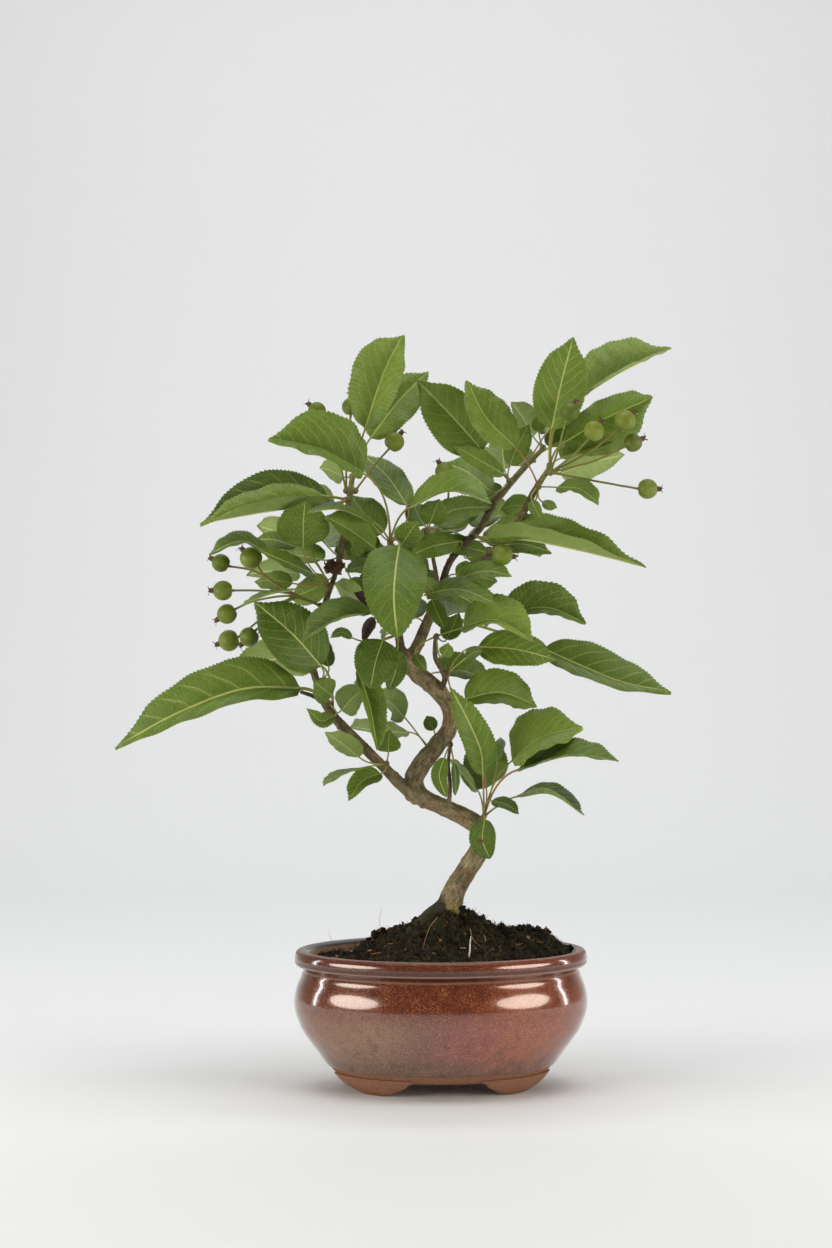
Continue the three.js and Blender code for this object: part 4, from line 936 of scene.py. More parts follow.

# %% [markdown]
# A few chips of bark and bits of pale grit lie where they were dropped, each at a listed place. Fine roots
# and one stiff pale spike stand out of the heap as thin tubes.

# %% Chips, grit and roots
CHIPS = [  # across, back, length, width, angle in degrees, shade
    (-37, -34, 9, 1.8, 25, 0.1), (-41, -31, 5, 1.5, 60, 0.35), (-7, -40, 3.4, 1, 120, 0.7),
    (10, -40, 6.5, 1.3, 172, 0.75), (-30, -30, 4, 1, 10, 0.2), (52, -22, 4.6, 1.2, 150, 0.3),
    (34, 18, 5, 1.4, 30, 0.4), (-12, 26, 6, 1.4, 80, 0.2), (-58, 2, 3.6, 1.2, 70, 0.5),
    (16, 34, 4.4, 1.2, 15, 0.3),
    (60, 6, 3.8, 1.1, 110, 0.2), (-28, 12, 4.2, 1.2, 140, 0.6), (-50, -21, 3.2, 1.3, 20, 0.85),
    (-60, -12, 3.0, 1.4, 95, 0.8), (29, -33, 3.2, 0.9, 60, 0.5), (40, -30, 4.8, 0.9, 15, 0.25),
]
GRIT = [  # across, back, size
    (-58, -17, 2.3), (-48, -25, 2.1), (-3, -34, 1.7), (46, -20, 1.9), (-22, 30, 2), (24, 26, 1.8),
    (55, 14, 1.6),
]
ROOTS = [  # places as seen from the front, the radius at each end, shade
    ([(-2, 93, -20), (-6, 88, -27), (-9, 80, -34), (-11, 72, -40)], 0.2, 0.1, 0.5),
    ([(-12, 80, -26), (-10, 75, -32), (-9, 70, -38)], 0.22, 0.1, 0.4),
    ([(16, 86.5, -26), (18, 80, -33), (23, 75.5, -39), (27, 70, -43)], 0.18, 0.08, 0.5),
    ([(24, 83, -24), (25, 78, -29), (27, 74, -34)], 0.18, 0.1, 0.6),
    ([(2, 78, -28), (9, 74, -34), (17, 68, -42), (24, 67, -44)], 0.16, 0.08, 0.55),
    ([(-9, 70, -40), (-4, 75, -34), (1, 76, -30)], 0.2, 0.1, 0.5),
    ([(-33.5, 84, -4), (-34, 92, -5), (-32.5, 98.5, -6)], 0.14, 0.05, 0.5),
    ([(-60, 79, 0), (-61.5, 83, 1), (-62, 86, 1)], 0.1, 0.04, 0.3),
    ([(15.2, 63, -50), (15.8, 73, -47), (16.4, 82.5, -43)], 0.8, 0.2, 1.1),
]
CHIP_CORNERS = [(-1, -0.22, 0), (-0.2, -0.42, 0), (0.9, -0.2, 0), (0.9, 0.3, 0), (-0.9, 0.3, 0)]


def chip(x, y, length, width, angle, tone):
    """A splinter on the soil: a strip that bends by a sine and narrows by the power 1.6 to both ends."""
    t = np.linspace(-0.5, 0.5, 7)
    way = math.radians(angle)
    z = soil_top(x, y, 0.97) + 0.9 + 0.5 * np.sin(3 * t) - t * 0.8
    middle = turned(x + length * t * math.cos(way), y + length * t * math.sin(way), z)
    half = width / 2 * (1 - 0.75 * np.abs(2 * t) ** 1.6)
    return strip(middle, UP, half, CHIP_CORNERS, shade=tone)


def grit(x, y, size):
    """One small stone on the soil."""
    return scattered(1, size, size, 1, 0.2, (x, y, soil_top(x, y, 0.97) + 0.3))


def root(spots, thick, thin, tone):
    """A thin tube through a few places, bent a little by noise but for its first one."""
    t = np.linspace(0, 1, 22)
    middle = spline(place(spots), t)
    sway = np.stack([noise(middle, 3.1, seed) for seed in (5, 6, 7)], -1)
    middle = middle + 0.35 * sway * (t[:, None] > 0)
    body = tube(middle, thick + (thin - thick) * t, 7)
    body["shade"] = np.full(len(body["points"]), tone)
    return body


chips = add_piece("bark_chips", gather([chip(*row) for row in CHIPS]), sharp=30)
stones = add_piece("grit", gather([grit(*row) for row in GRIT]), sharp=30)
roots = add_piece("fine_roots", gather([root(*row) for row in ROOTS]))

# %% [markdown]
# Wet peat is almost black, with rust and olive in it where fibres and algae catch the light. Every clod
# carries its own number, so no two neighbours match. It is rough, and only its grain is left to bump.

# %% Soil finishes
def make_soil():
    earth = Finish("damp_peat")
    here = earth.here()
    patch = earth.speckle(here, 14, 3, 0.6)
    grain = earth.speckle(here, 1.1, 4, 0.7)
    colour = earth.ramp(grain, (0.34, 14, 11, 8), (0.5, 33, 27, 18), (0.6, 66, 54, 34), (0.75, 118, 98, 64))
    green = earth.step(patch, 0.45, 0.6) * 0.5
    colour = earth.mix(green, colour, (46, 50, 22))
    return earth.surface(Base_Color=colour, Roughness=0.93, Specular_IOR_Level=0.25,
                         Normal=earth.bump(grain, 0.8, 0.9))


def make_crumb():
    crumb = Finish("peat_crumbs")
    here = crumb.here()
    grain = crumb.speckle(here, 0.7, 3, 0.7)
    tone = crumb.field("shade") * 0.65 + grain * 0.45
    colour = crumb.ramp(tone, (0.2, 16, 12, 9), (0.48, 32, 26, 18), (0.7, 60, 50, 30), (0.9, 120, 98, 62))
    return crumb.surface(Base_Color=colour, Roughness=0.92, Specular_IOR_Level=0.25,
                         Normal=crumb.bump(grain, 0.4, 0.8))


def make_moss():
    blade = Finish("dull_moss")
    tone = blade.field("shade")
    colour = blade.ramp(tone, (0.0, 40, 28, 18), (0.24, 104, 84, 54), (0.34, 30, 30, 15),
                        (0.75, 44, 44, 20), (1.0, 74, 72, 36))
    return blade.surface(Base_Color=colour, Roughness=0.85, Specular_IOR_Level=0.25)


def make_wood_bits():
    bits = Finish("bark_and_root_bits")
    grain = bits.speckle(bits.here(), 0.9, 3, 0.7)
    tone = bits.field("shade") + (grain - 0.5) * 0.25
    colour = bits.ramp(tone, (0.0, 132, 70, 30), (0.3, 168, 100, 48), (0.55, 150, 122, 84),
                       (0.8, 196, 170, 120), (1.0, 206, 200, 198))
    return bits.surface(Base_Color=colour, Roughness=0.75, Normal=bits.bump(grain, 0.2, 0.7))


wear(make_soil(), soil)
wear(make_crumb(), crumbs)
wear(make_moss(), moss)
wear(make_wood_bits(), chips, stones, roots)

# %% [markdown]
# ## The tree's measurements
#
# Three tables hold the tree. `LIMBS` gives each limb the places its middle line runs through and its
# radius at even steps along it. `CLUSTERS` gives each cluster of leaves the limb it grows on, the place
# of its bud, and its leaves: places along the midrib, half the width, the turn of the blade away from
# the eye in degrees (one value, or one for each end) and the fold along the rib. A fifth value, where
# there is one, is painted light or shade that makes a leaf lighter or darker, and -2 makes it a withered
# one. `BUNCHES` does the same for fruit: centre, radius, the way its eye points, and places that its
# stalk runs through.

# %% Limbs, leaves and fruit
LIMBS = {
    "trunk": ([
        (1, 74, 0), (3, 92, 0), (7, 106, 0), (15, 120, -1), (21.5, 131, -2), (23.5, 138, -3),
        (20, 143.5, -3), (13, 148, -2), (5, 152, -1), (-6, 157, 0), (-14, 161, 0),
    ], [9, 8, 6.3, 5.7, 5.6, 5.8, 5.4, 5, 4.6, 4.8, 5.2]),
    "leader": ([
        (-11, 157, 0), (-15, 168, 1), (-12, 175, 2), (-3, 187, 4), (4.5, 197, 5), (5, 207, 4),
        (-2, 218, 1), (-13, 227, -2), (-20, 236, -4),
    ], [5.2, 5.4, 5.2, 5, 4.5, 4.5, 4.7, 4.8, 4.6]),
    "left_limb": ([(-19, 233, -4), (-22, 241, -3), (-25, 268, 0), (-28, 299, 0)], [3.6, 2.6, 2.2, 1.8]),
    "right_limb": ([(-19, 233, -4), (-14, 241, -2), (-6, 259, 2), (0, 273, 6)], [4.2, 3.3, 2.8, 2.5]),
    "far_shoot": ([
        (-1, 270, 5), (5, 289, 9), (22, 308, 14), (28, 319, 16), (46, 341, 24), (56, 351, 28),
    ], [2.3, 1.9, 2, 2.1, 1.7, 1.4]),
    "near_shoot": ([
        (-1, 271, 6), (10, 280, 2), (34, 300, -3), (47, 319, -7), (51, 327, -10), (60, 341, -13),
    ], [2.2, 1.8, 1.8, 2, 1.9, 1.4]),
    "left_branch": ([
        (-12, 158, 0), (-25, 169, -4), (-31, 175, -7), (-50, 194, -14), (-61, 206, -18),
        (-68, 221, -20), (-71, 236, -16), (-67, 256, -9), (-57, 287, 0), (-53, 308, 5),
        (-49, 335, 9),
    ], [4.4, 3.1, 2.9, 2.9, 2.7, 2.1, 1.8, 1.6, 1.6, 1.8, 1.6]),
    "broken_stub": ([(-64, 212, -19), (-71, 215, -19), (-77, 217, -18)], [1.7, 1.3, 1.1]),
    "middle_twig": ([(-1, 217, 0), (2, 225, -7), (-3, 236, -11), (-3, 247, -13)], [1.8, 1.5, 1.4, 1.2]),
    "low_twig": ([(4, 153, -1), (5, 165, -7), (4, 178, -9), (5, 187, -9)], [1.4, 1.2, 1.1, 1]),
    "inner_twig": ([(-1, 269, 5), (-4, 289, 1), (-8, 305, -3)], [1.6, 1.3, 1.2]),
    "root_left": ([
        (7, 102, 0), (0, 96.5, -2), (-8, 90.5, -6), (-17, 83.5, -9), (-28, 74, -14),
    ], [5.4, 5.8, 5.0, 3.6, 1.6]),
}

CLUSTERS = {
    "low_right": ("trunk", (26, 151, -7), [
        ([(23, 171, -11), (22, 184, -14), (15, 201, -20), (5, 220, -24)], 9.5, (18, 12), 20, 0.1),
        ([(25, 164, 4), (23, 178, 16), (19, 193, 34)], 14, 165, 10),
        ([(20, 163, 0), (13, 171, 14), (5, 180, 34)], 6, 120, 10),
        ([(31, 179, 6), (31, 185, 20), (33, 192, 34)], 5, 30, 10),
        ([(39, 179, -4), (55, 191.5, -10), (78, 198, -12)], 22, (60, 50), 24, 0.95),
        ([(42, 174, -13), (71, 182, -28), (98, 179, -40)], 15, 70, 20),
        ([(43, 159.5, -10), (60, 161, -26), (79, 149, -46)], 9.5, 76, 26),
        ([(28, 157, -13), (36, 155, -18), (43, 150, -22)], 5, 45, 15),
        ([(24, 147, -13), (23, 135, -19), (27, 125, -18)], 7.4, 0, 12),
    ]),
    "low_inner": ("low_twig", (5, 189, -9), [
        ([(2, 181, -14), (-1, 171, -17), (3, 159, -16)], 4.6, 0, 10),
        ([(7, 178, -12), (8, 169, -12), (8, 160, -10)], 3.4, 50, 10),
    ]),
    "left_low": ("left_branch", (-29, 178, -12), [
        ([(-44, 175, -20), (-54, 172, -38), (-65, 166, -52)], 10, 80, 12, 0.2),
        ([(-33, 172, -15), (-43, 168, -22), (-51, 157, -28)], 7, 35, 20),
        ([(-29, 184, -12), (-29, 190, -18), (-28, 196, -28)], 7, 0, 15),
        ([(-45, 181, -20), (-53, 188, -26), (-64, 195, -30)], 7.5, 140, 10),
    ]),
    "trunk_back": ("leader", (-8, 186, 13), [
        ([(-20, 203, 20), (-27, 211, 32), (-34, 213, 48)], 9, 150, 10),
        ([(-18, 195, 20), (-34, 196, 30), (-50, 198, 48)], 11, 115, 8),
        ([(-4, 196, 14), (-6, 200, 14), (-8, 204, 14)], 4, 0, 10),
    ]),
    "left_elbow": ("left_branch", (-61, 211, -24), [
        ([(-77, 219, -24), (-108, 218.5, -31), (-143, 206, -31), (-180, 186, -26)], 20, (40, 52), 30, 0.2),
        ([(-60, 215, -30), (-64, 218, -36), (-70, 223, -40)], 7.5, 5, 8),
        ([(-59, 204, -29), (-66, 201, -34), (-74, 208, -38)], 5, 20, 30),
    ]),
    "elbow_back": ("left_branch", (-59, 208, -10), [
        ([(-70, 233, 2), (-93, 235, 18), (-118, 223, 36)], 13, 150, 18),
        ([(-55, 207, -2), (-50, 213, 8), (-42, 219, 22)], 8.5, 168, 12),
    ]),
    "middle_top": ("middle_twig", (-2, 249, -14), [
        ([(12, 252.5, -17), (30, 256.5, -28), (51, 245, -38)], 16, 50, 30, 0.7),
        ([(3, 246, -8), (6, 252, -4), (10, 261, 0)], 6, 20, 10),
        ([(1, 237, -18), (3, 240, -20), (4, 244, -24)], 4, 0, 10),
        ([(-14, 238, -14), (-12, 234, -18), (-8, 229, -20)], 3.5, 10, 10),
    ]),
    "middle_low": ("middle_twig", (5, 227, -11), [
        ([(20, 242, -10), (41, 240.5, -16), (63, 235, -22)], 12, 34, 10),
        ([(13, 213, -2), (33, 216.5, 6), (53, 209, 12)], 14.5, 40, 26, 0.3),
        ([(14, 236, -18), (18, 239, -20), (23, 240, -22)], 3.4, 0, 10),
    ]),
    "middle_back": ("right_limb", (1, 257, 8), [
        ([(56, 241, 11), (77, 231.5, 8), (101, 222, 0), (127, 217, -10)], 17.5, (44, 60), 26),
        ([(33, 258, 13), (57, 263.5, 14), (80, 255, 14)], 16, 44, 38),
    ]),
    "crown_heart": ("right_limb", (-1, 270, -1), [
        ([(-8, 271, -8), (10, 273.5, -20), (31, 265, -38)], 11, 58, 16),
        ([(-3, 272, -8), (-7, 276, -12), (-12, 281, -18)], 5, 160, 8),
        ([(-5, 268, -8), (-2, 260, -14), (2, 252, -18)], 5, 20, 12),
        ([(8, 279, -6), (23, 283.5, -14), (39, 281, -30)], 8, 52, 12),
        ([(8, 282, 12), (18, 281, 20), (31, 278, 30)], 9, 40, 10),
        ([(-6, 273, 6), (-9, 279, 12), (-11, 287, 18)], 8, 10, 12),
        ([(6, 272, 10), (14, 268, 20), (24, 262, 32)], 8, 40, 12),
    ]),
    "far_low": ("far_shoot", (6, 293, 4), [
        ([(10, 300, -1), (-4, 297.5, -6), (-18, 292, -9)], 7.5, 25, 12),
    ]),
    "left_limb_end": ("left_limb", (-28, 302, -1), [
        ([(-42.5, 337.5, -12), (-66, 350.5, -22), (-95, 357, -30)], 23.5, 43, 42),
        ([(-38, 311, -10), (-56, 318, -30), (-74, 316, -50)], 10, 88, 16),
        ([(-17, 319, -9), (5, 328, -28), (28, 321, -44)], 13, 60, 28),
        ([(-23, 298, -18), (-25, 285, -32), (-26, 268, -42), (-24, 247, -44)], 17.5, 0, 12),
        ([(-36, 296, -8), (-50, 306, -14), (-64, 314, -24)], 11, 45, 18),
        ([(-34, 287, -9), (-43, 286, -14), (-53, 284, -18)], 8, 55, 12),
        ([(-21, 294, 7), (-14, 287, 10), (-8, 279, 13)], 8, 20, 10),
        ([(-22, 298, -9), (-18, 304, -16), (-13, 311, -24)], 7.5, 0, 10),
        ([(-19, 320, 6), (-29, 335, 18), (-44, 349, 32)], 11, 40, 8),
        ([(-33, 304, 8), (-42, 315, 14), (-50, 326, 22)], 11, 20, 14),
        ([(-34, 296, 10), (-45, 297, 18), (-58, 300, 28)], 10, 30, 10),
        ([(-30, 288, 6), (-38, 275, 12), (-44, 261, 18)], 9, 10, 12),
    ]),
    "inner_top": ("inner_twig", (-8, 308, -4), [
        ([(-6, 310, -8), (-4, 316, -12), (-1, 323, -18)], 8, 0, 10),
        ([(-5, 312, -3), (10, 318, 2), (28, 319, 4)], 9, 42, 12),
        ([(-4, 300, 4), (12, 297, 12), (29, 293, 20)], 8, 45, 12),
        ([(-1, 308, 8), (10, 315, 20), (22, 322, 34)], 9, 30, 12),
        ([(-9, 309, 5), (-13, 315, 12), (-15, 323, 20)], 7, 10, 12),
        ([(-12, 299, 5), (-18, 292, 12), (-22, 281, 20)], 8, 20, 12),
    ]),
    "far_middle": ("far_shoot", (37, 336, 14), [
        ([(33, 338, 18), (22, 348, 34), (6, 353, 50)], 8, 50, 10),
        ([(27, 328, 12), (15, 338, 22), (0, 344, 36)], 10, 35, 10),
        ([(35, 340, 22), (34, 349, 36), (33, 361, 50)], 8.5, 5, 14),
        ([(38, 342, 6), (42, 353, 4), (49, 365, 2)], 7.5, -20, 16),
        ([(35, 337, 10), (21, 345, 6), (7, 353, 4)], 7, 35, 16),
        ([(34, 329, 22), (27, 324, 32), (18, 320, 44)], 8, 30, 12),
        ([(23, 350, 12), (8, 367, 6), (-13, 389, -4)], 16, (8, 0), 14, -0.15),
    ]),
    "far_tip": ("far_shoot", (57, 355, 29), [
        ([(54, 361, 26), (54, 365, 24), (57, 371, 24)], 4, 0, 10),
        ([(51, 358, 32), (46, 367, 42), (39, 377, 54)], 9, 155, 8),
    ]),
    "near_middle": ("near_shoot", (54, 330, -15), [
        ([(41, 352, -10), (25, 368, -12), (14, 389, -12)], 14.5, 36, 22, 0.25),
        ([(64, 330, -20), (76, 329, -30), (87, 321, -44)], 8.5, 55, 18),
        ([(56, 322, -18), (60, 320, -20), (64, 319, -22)], 3, 20, 8),
        ([(48, 319, -4), (41, 320, 4), (33, 318, 12)], 7, 30, 12),
        ([(50, 323, -19), (52, 318, -22), (55, 313, -23)], 3.4, 0, 8),
    ]),
    "near_tip": ("near_shoot", (60, 346, -14), [
        ([(61, 362, -20), (66, 386, -24), (73, 413, -24)], 14.5, 0, 15),
        ([(74, 378, -8), (98, 393, -8), (127, 407, -4)], 21.5, 60, 32, 0.65),
        ([(68, 355, -10), (90, 368, -4), (117, 380, 4)], 20, -26, 36, -0.15),
        ([(66, 346, -14), (80, 351, -8), (97, 357, 6)], 12, 60, 26),
        ([(66, 338, -10), (83, 344, 4), (101, 348, 22)], 10, 160, 10),
    ]),
    "near_low": ("far_shoot", (20, 303, 8), [
        ([(25, 302, 0), (46, 301.5, -12), (74, 296, -24), (113, 286, -34)], 17.5, (80, 64), 46),
        ([(25, 303, 2), (46, 307, -6), (71, 304, -16)], 10, 40, 20),
        ([(32, 298, 8), (46, 298.5, 2), (61, 294, -2)], 7, 40, 10),
    ]),
    "left_top": ("left_branch", (-49, 340, 9), [
        ([(-42, 362, 2), (-31, 394, -4), (-21, 414, -12)], 18.5, 32, 28, 0.25),
        ([(-39, 357, 10), (-23, 378, 16), (-7, 394, 22)], 13, 20, 14, 0.2),
        ([(-54, 336, 18), (-60, 339, 30), (-67, 341, 42)], 6.5, 150, 8),
    ]),
    "left_shoulder": ("left_branch", (-54, 324, 2), [
        ([(-60, 321, -5), (-92, 317.5, -22), (-133, 310, -34)], 17, 70, 46, 0.4),
        ([(-62, 325, 4), (-95, 328.5, -10), (-131, 311, -24)], 11, 24, 12, -0.3),
        ([(-59, 320, 8), (-63, 326, 16), (-69, 331, 24)], 5, 120, 8),
        ([(-50, 314, 8), (-44, 306, 14), (-37, 297, 20)], 9, 0, 10),
    ]),
    "left_heart": ("left_branch", (-63, 278, -9), [
        ([(-76, 297, -14), (-76, 309, -20), (-75, 323, -28)], 14.5, 0, 8),
        ([(-78, 299, -2), (-89, 305, 12), (-101, 309, 32)], 9, 150, 10),
        ([(-93, 292, -16), (-110, 300, -30), (-128, 293, -44)], 9, 64, 20),
        ([(-70, 282, -17), (-84, 288, -32), (-100, 295, -54)], 9, 62, 12),
        ([(-80, 297, -8), (-92, 301, 0), (-104, 301, 10)], 6, 35, 10),
        ([(-82, 277, -9), (-92, 278.5, -6), (-103, 278, 0)], 7, 40, 12),
        ([(-78, 283, -3), (-91, 284, 12), (-107, 282, 28)], 8, 140, 10),
        ([(-80, 274, -24), (-95, 271, -40), (-110, 265, -56)], 9, 84, 10),
    ]),
    "left_lower": ("left_branch", (-64, 224, -23), [
        ([(-66, 231, -27), (-81, 248, -32), (-103, 267, -30)], 16.5, 14, 10),
        ([(-62, 231, -20), (-65, 240, -14), (-67, 252, -6)], 6, 35, 12),
    ]),
    "inner_left": ("left_limb", (-26, 249, -10), [
        ([(-38, 261, -24), (-57, 257, -38), (-76, 246, -50)], 13, 56, 34),
        ([(-42, 265, -10), (-50, 271, -2), (-59, 277, 8)], 8.5, 140, 8),
        ([(-49, 247, -22), (-55, 250, -24), (-61, 247, -26)], 3, 30, 8),
        ([(-32, 246, -19), (-36, 234, -28), (-39, 219, -34)], 12.5, 0, 15),
        ([(-46, 229, -20), (-40, 211, -26), (-35, 185, -34)], 10, 38, 38),
        ([(-24, 240, -16), (-25, 229, -16), (-29, 218, -18)], 6, 10, 12),
        ([(-37, 262, -14), (-42, 268, -16), (-48, 272, -18)], 5, 20, 40, -2),
        ([(-37, 258, -14), (-41, 253, -16), (-43, 245, -18)], 4.5, -20, 40, -2),
    ]),
    "back_heart": ("left_limb", (-26, 273, 9), [
        ([(-30, 276, 26), (-34, 274, 52), (-36, 264, 80)], 16, 70, 16),
        ([(-24, 280, 22), (-21, 288, 42), (-18, 288, 68)], 14, 50, 16),
    ]),
    "back_left": ("left_branch", (-57, 291, 9), [
        ([(-62, 297, 24), (-68, 305, 46), (-74, 306, 74)], 15, 60, 16),
        ([(-66, 290, 20), (-80, 292, 34), (-96, 290, 56)], 13, 60, 14),
        ([(-50, 291, 20), (-44, 296, 40), (-40, 292, 66)], 14, 60, 14),
        ([(-52, 293, 6), (-46, 299, 4), (-39, 305, 3)], 6.5, 20, 10),
        ([(-62, 279, 14), (-72, 273, 18), (-84, 269, 24)], 9, 30, 10),
        ([(-50, 280, 8), (-45, 270, 12), (-42, 259, 18)], 8, 15, 12),
    ]),
    "back_right": ("far_shoot", (13, 302, 19), [
        ([(20, 308, 32), (32, 314, 52), (44, 308, 78)], 15, 60, 16),
        ([(8, 305, 30), (0, 308, 52), (-4, 304, 78)], 14, 60, 16),
        ([(24, 300, 24), (40, 300, 36), (58, 294, 54)], 13, 60, 14),
        ([(14, 291, 26), (20, 292, 38), (28, 297, 50)], 9, 30, 10),
    ]),
    "back_middle": ("right_limb", (-9, 253, 8), [
        ([(0, 258, 24), (12, 262, 46), (22, 257, 74)], 16, 66, 16),
        ([(-14, 258, 22), (-22, 258, 44), (-34, 250, 66)], 15, 60, 16),
    ]),
    "back_low": ("leader", (-11, 226, 10), [
        ([(-22, 230, 22), (-36, 230, 40), (-48, 222, 60)], 14, 60, 16),
        ([(0, 228, 22), (14, 228, 40), (30, 220, 58)], 14, 55, 16),
    ]),
    "back_top": ("far_shoot", (47, 346, 32), [
        ([(58, 360, 42), (66, 372, 60), (70, 378, 84)], 15, 50, 16),
        ([(60, 352, 42), (78, 362, 58), (98, 364, 78)], 15, 60, 16),
        ([(44, 342, 44), (38, 344, 62), (28, 338, 84)], 14, 66, 16),
    ]),
}

BUNCHES = {
    "left": ("left_branch", (-71, 268, -13), [
        ((-121.4, 288.3, -13), 5, (-13, 6), [(-104, 284, -14), (-84, 273, -18)]),
        ((-104.8, 291, -21), 6, (-9, 9), [(-98, 282, -19), (-84, 272, -20)]),
        ((-120.3, 273.1, -22), 5.5, (-1, 0), [(-100, 273, -20), (-82, 271, -19)]),
        ((-118.1, 260.2, -18), 5.5, (-10, -6), [(-104, 267, -19), (-82, 270, -18)]),
        ((-117, 245.5, -10), 5.8, (-12, -4), [(-106, 252, -10), (-82, 269, -16)]),
        ((-105.9, 247.5, -20), 5.3, (-8, -8), [(-92, 261, -17), (-80, 269, -16)]),
    ]),
    "left_top": ("left_branch", (-54, 328, 10), [
        ((-68.4, 372.2, 6), 5, (-11, 9), [(-58, 352, 11)]),
        ((-49.7, 374.4, 12), 5, (0, 1), [(-52, 352, 12)]),
    ]),
    "left_high": ("left_branch", (-45, 328, 8), [
        ((-25.7, 355.1, 6), 5.4, (6, 8), [(-36, 343, 8)]),
    ]),
    "middle": ("inner_twig", (-5, 300, 6), [
        ((2.2, 338.5, 2), 5.5, (-7, 11), [(3, 318, 12)]),
    ]),
    "right": ("near_shoot", (62, 337, -16), [
        ((71.2, 371.6, -34), 5.2, (4, 7), [(65, 352, -26)]),
        ((84.4, 361.1, -32), 5.5, (7, 11), [(73, 348, -27)]),
        ((101.5, 366.6, -32), 5.8, (7, 7), [(84, 351, -26)]),
        ((105.9, 354.5, -28), 5, (11, 5), [(86, 345, -24)]),
        ((113.9, 329.1, -24), 5.5, (1, 0), [(88, 333, -22)]),
    ]),
    "single": ("near_shoot", (26, 293, -7), [
        ((33.7, 292.7, -13.5), 5.8, (14, -2), [(28, 296, -10)]),
    ]),
}

print("limbs:", len(LIMBS), "leaves:", sum(len(rows) for *_, rows in CLUSTERS.values()),
      "fruits:", sum(len(rows) for *_, rows in BUNCHES.values()))

# %% [markdown]
# ## The wood
#
# Each limb is a tube along its spline. Short spurs, a stub end and the flare of the roots are more
# tubes. A voxel Remesh melts them into one skin, with the soft forks that real wood has. Then every
# corner of that skin moves in or out along its normal by a sum of noises, larger on thick wood, and
# keeps the girth of the nearest limb as a value for the finish.

# %% Limb lines
STATION_GAP = 0.7


def length_of(line):
    """Sum of the steps between the points of a line."""
    return np.linalg.norm(np.diff(line, axis=0), axis=1).sum()


def radius_at(t, radii):
    """Radius of a limb at t, between radii that stand at even steps of t."""
    return np.interp(t, np.linspace(0, 1, len(radii)), radii)


def limb_line(name):
    """Middle points and radii of a limb, its radii softened by a short moving average."""
    places, radii = LIMBS[name]
    path = place(places)
    length = length_of(spline(path, np.linspace(0, 1, 90)))
    t = np.linspace(0, 1, max(int(length / STATION_GAP), 8))
    girth = radius_at(t, radii)
    width = max(3, int(len(t) * 0.07) | 1)
    soft = np.convolve(np.pad(girth, width // 2, "edge"), np.ones(width) / width, "valid")
    return spline(path, t), soft


LINES = {name: limb_line(name) for name in LIMBS}


def seat(limb_name, knob):
    """The limb's middle nearest to a wanted place, and the bud's middle: 1 mm outside the skin on the
    way to that place, or 1 mm past the end of the limb if that is nearest."""
    places, radii = LIMBS[limb_name]
    t = np.linspace(0, 1, 201)
    line = spline(place(places), t)
    wanted = place(knob)
    best = int(np.argmin(np.linalg.norm(line - wanted, axis=1)))
    skin = 0 if t[best] > 0.98 else radius_at(t[best], radii)
    return line[best], line[best] + unit(wanted - line[best]) * (skin + 1)


def blob(at, size):
    """A small egg of rings, for the ends of spurs and cuts."""
    tilt = np.linspace(0.15, math.pi - 0.15, 8)[:, None]
    turn = np.linspace(0, 2 * math.pi, 13)[None, :-1]
    across, back, up = np.sin(tilt) * np.cos(turn), np.sin(tilt) * np.sin(turn), np.cos(tilt) + 0 * turn
    return loft(np.asarray(at) + np.stack([across, back, up], -1) * size)


def spur(limb_name, knob):
    """A bud base: a short tube from inside the limb to the bud, and a small egg at its end."""
    axis, heart = seat(limb_name, knob)
    reach = heart - axis
    t = np.linspace(0, 1, 7)
    middle = axis + t[:, None] * reach * 1.05
    return [tube(middle, 1.9 - 0.25 * t, 14), blob(heart + unit(reach) * 0.2, 1.85)]


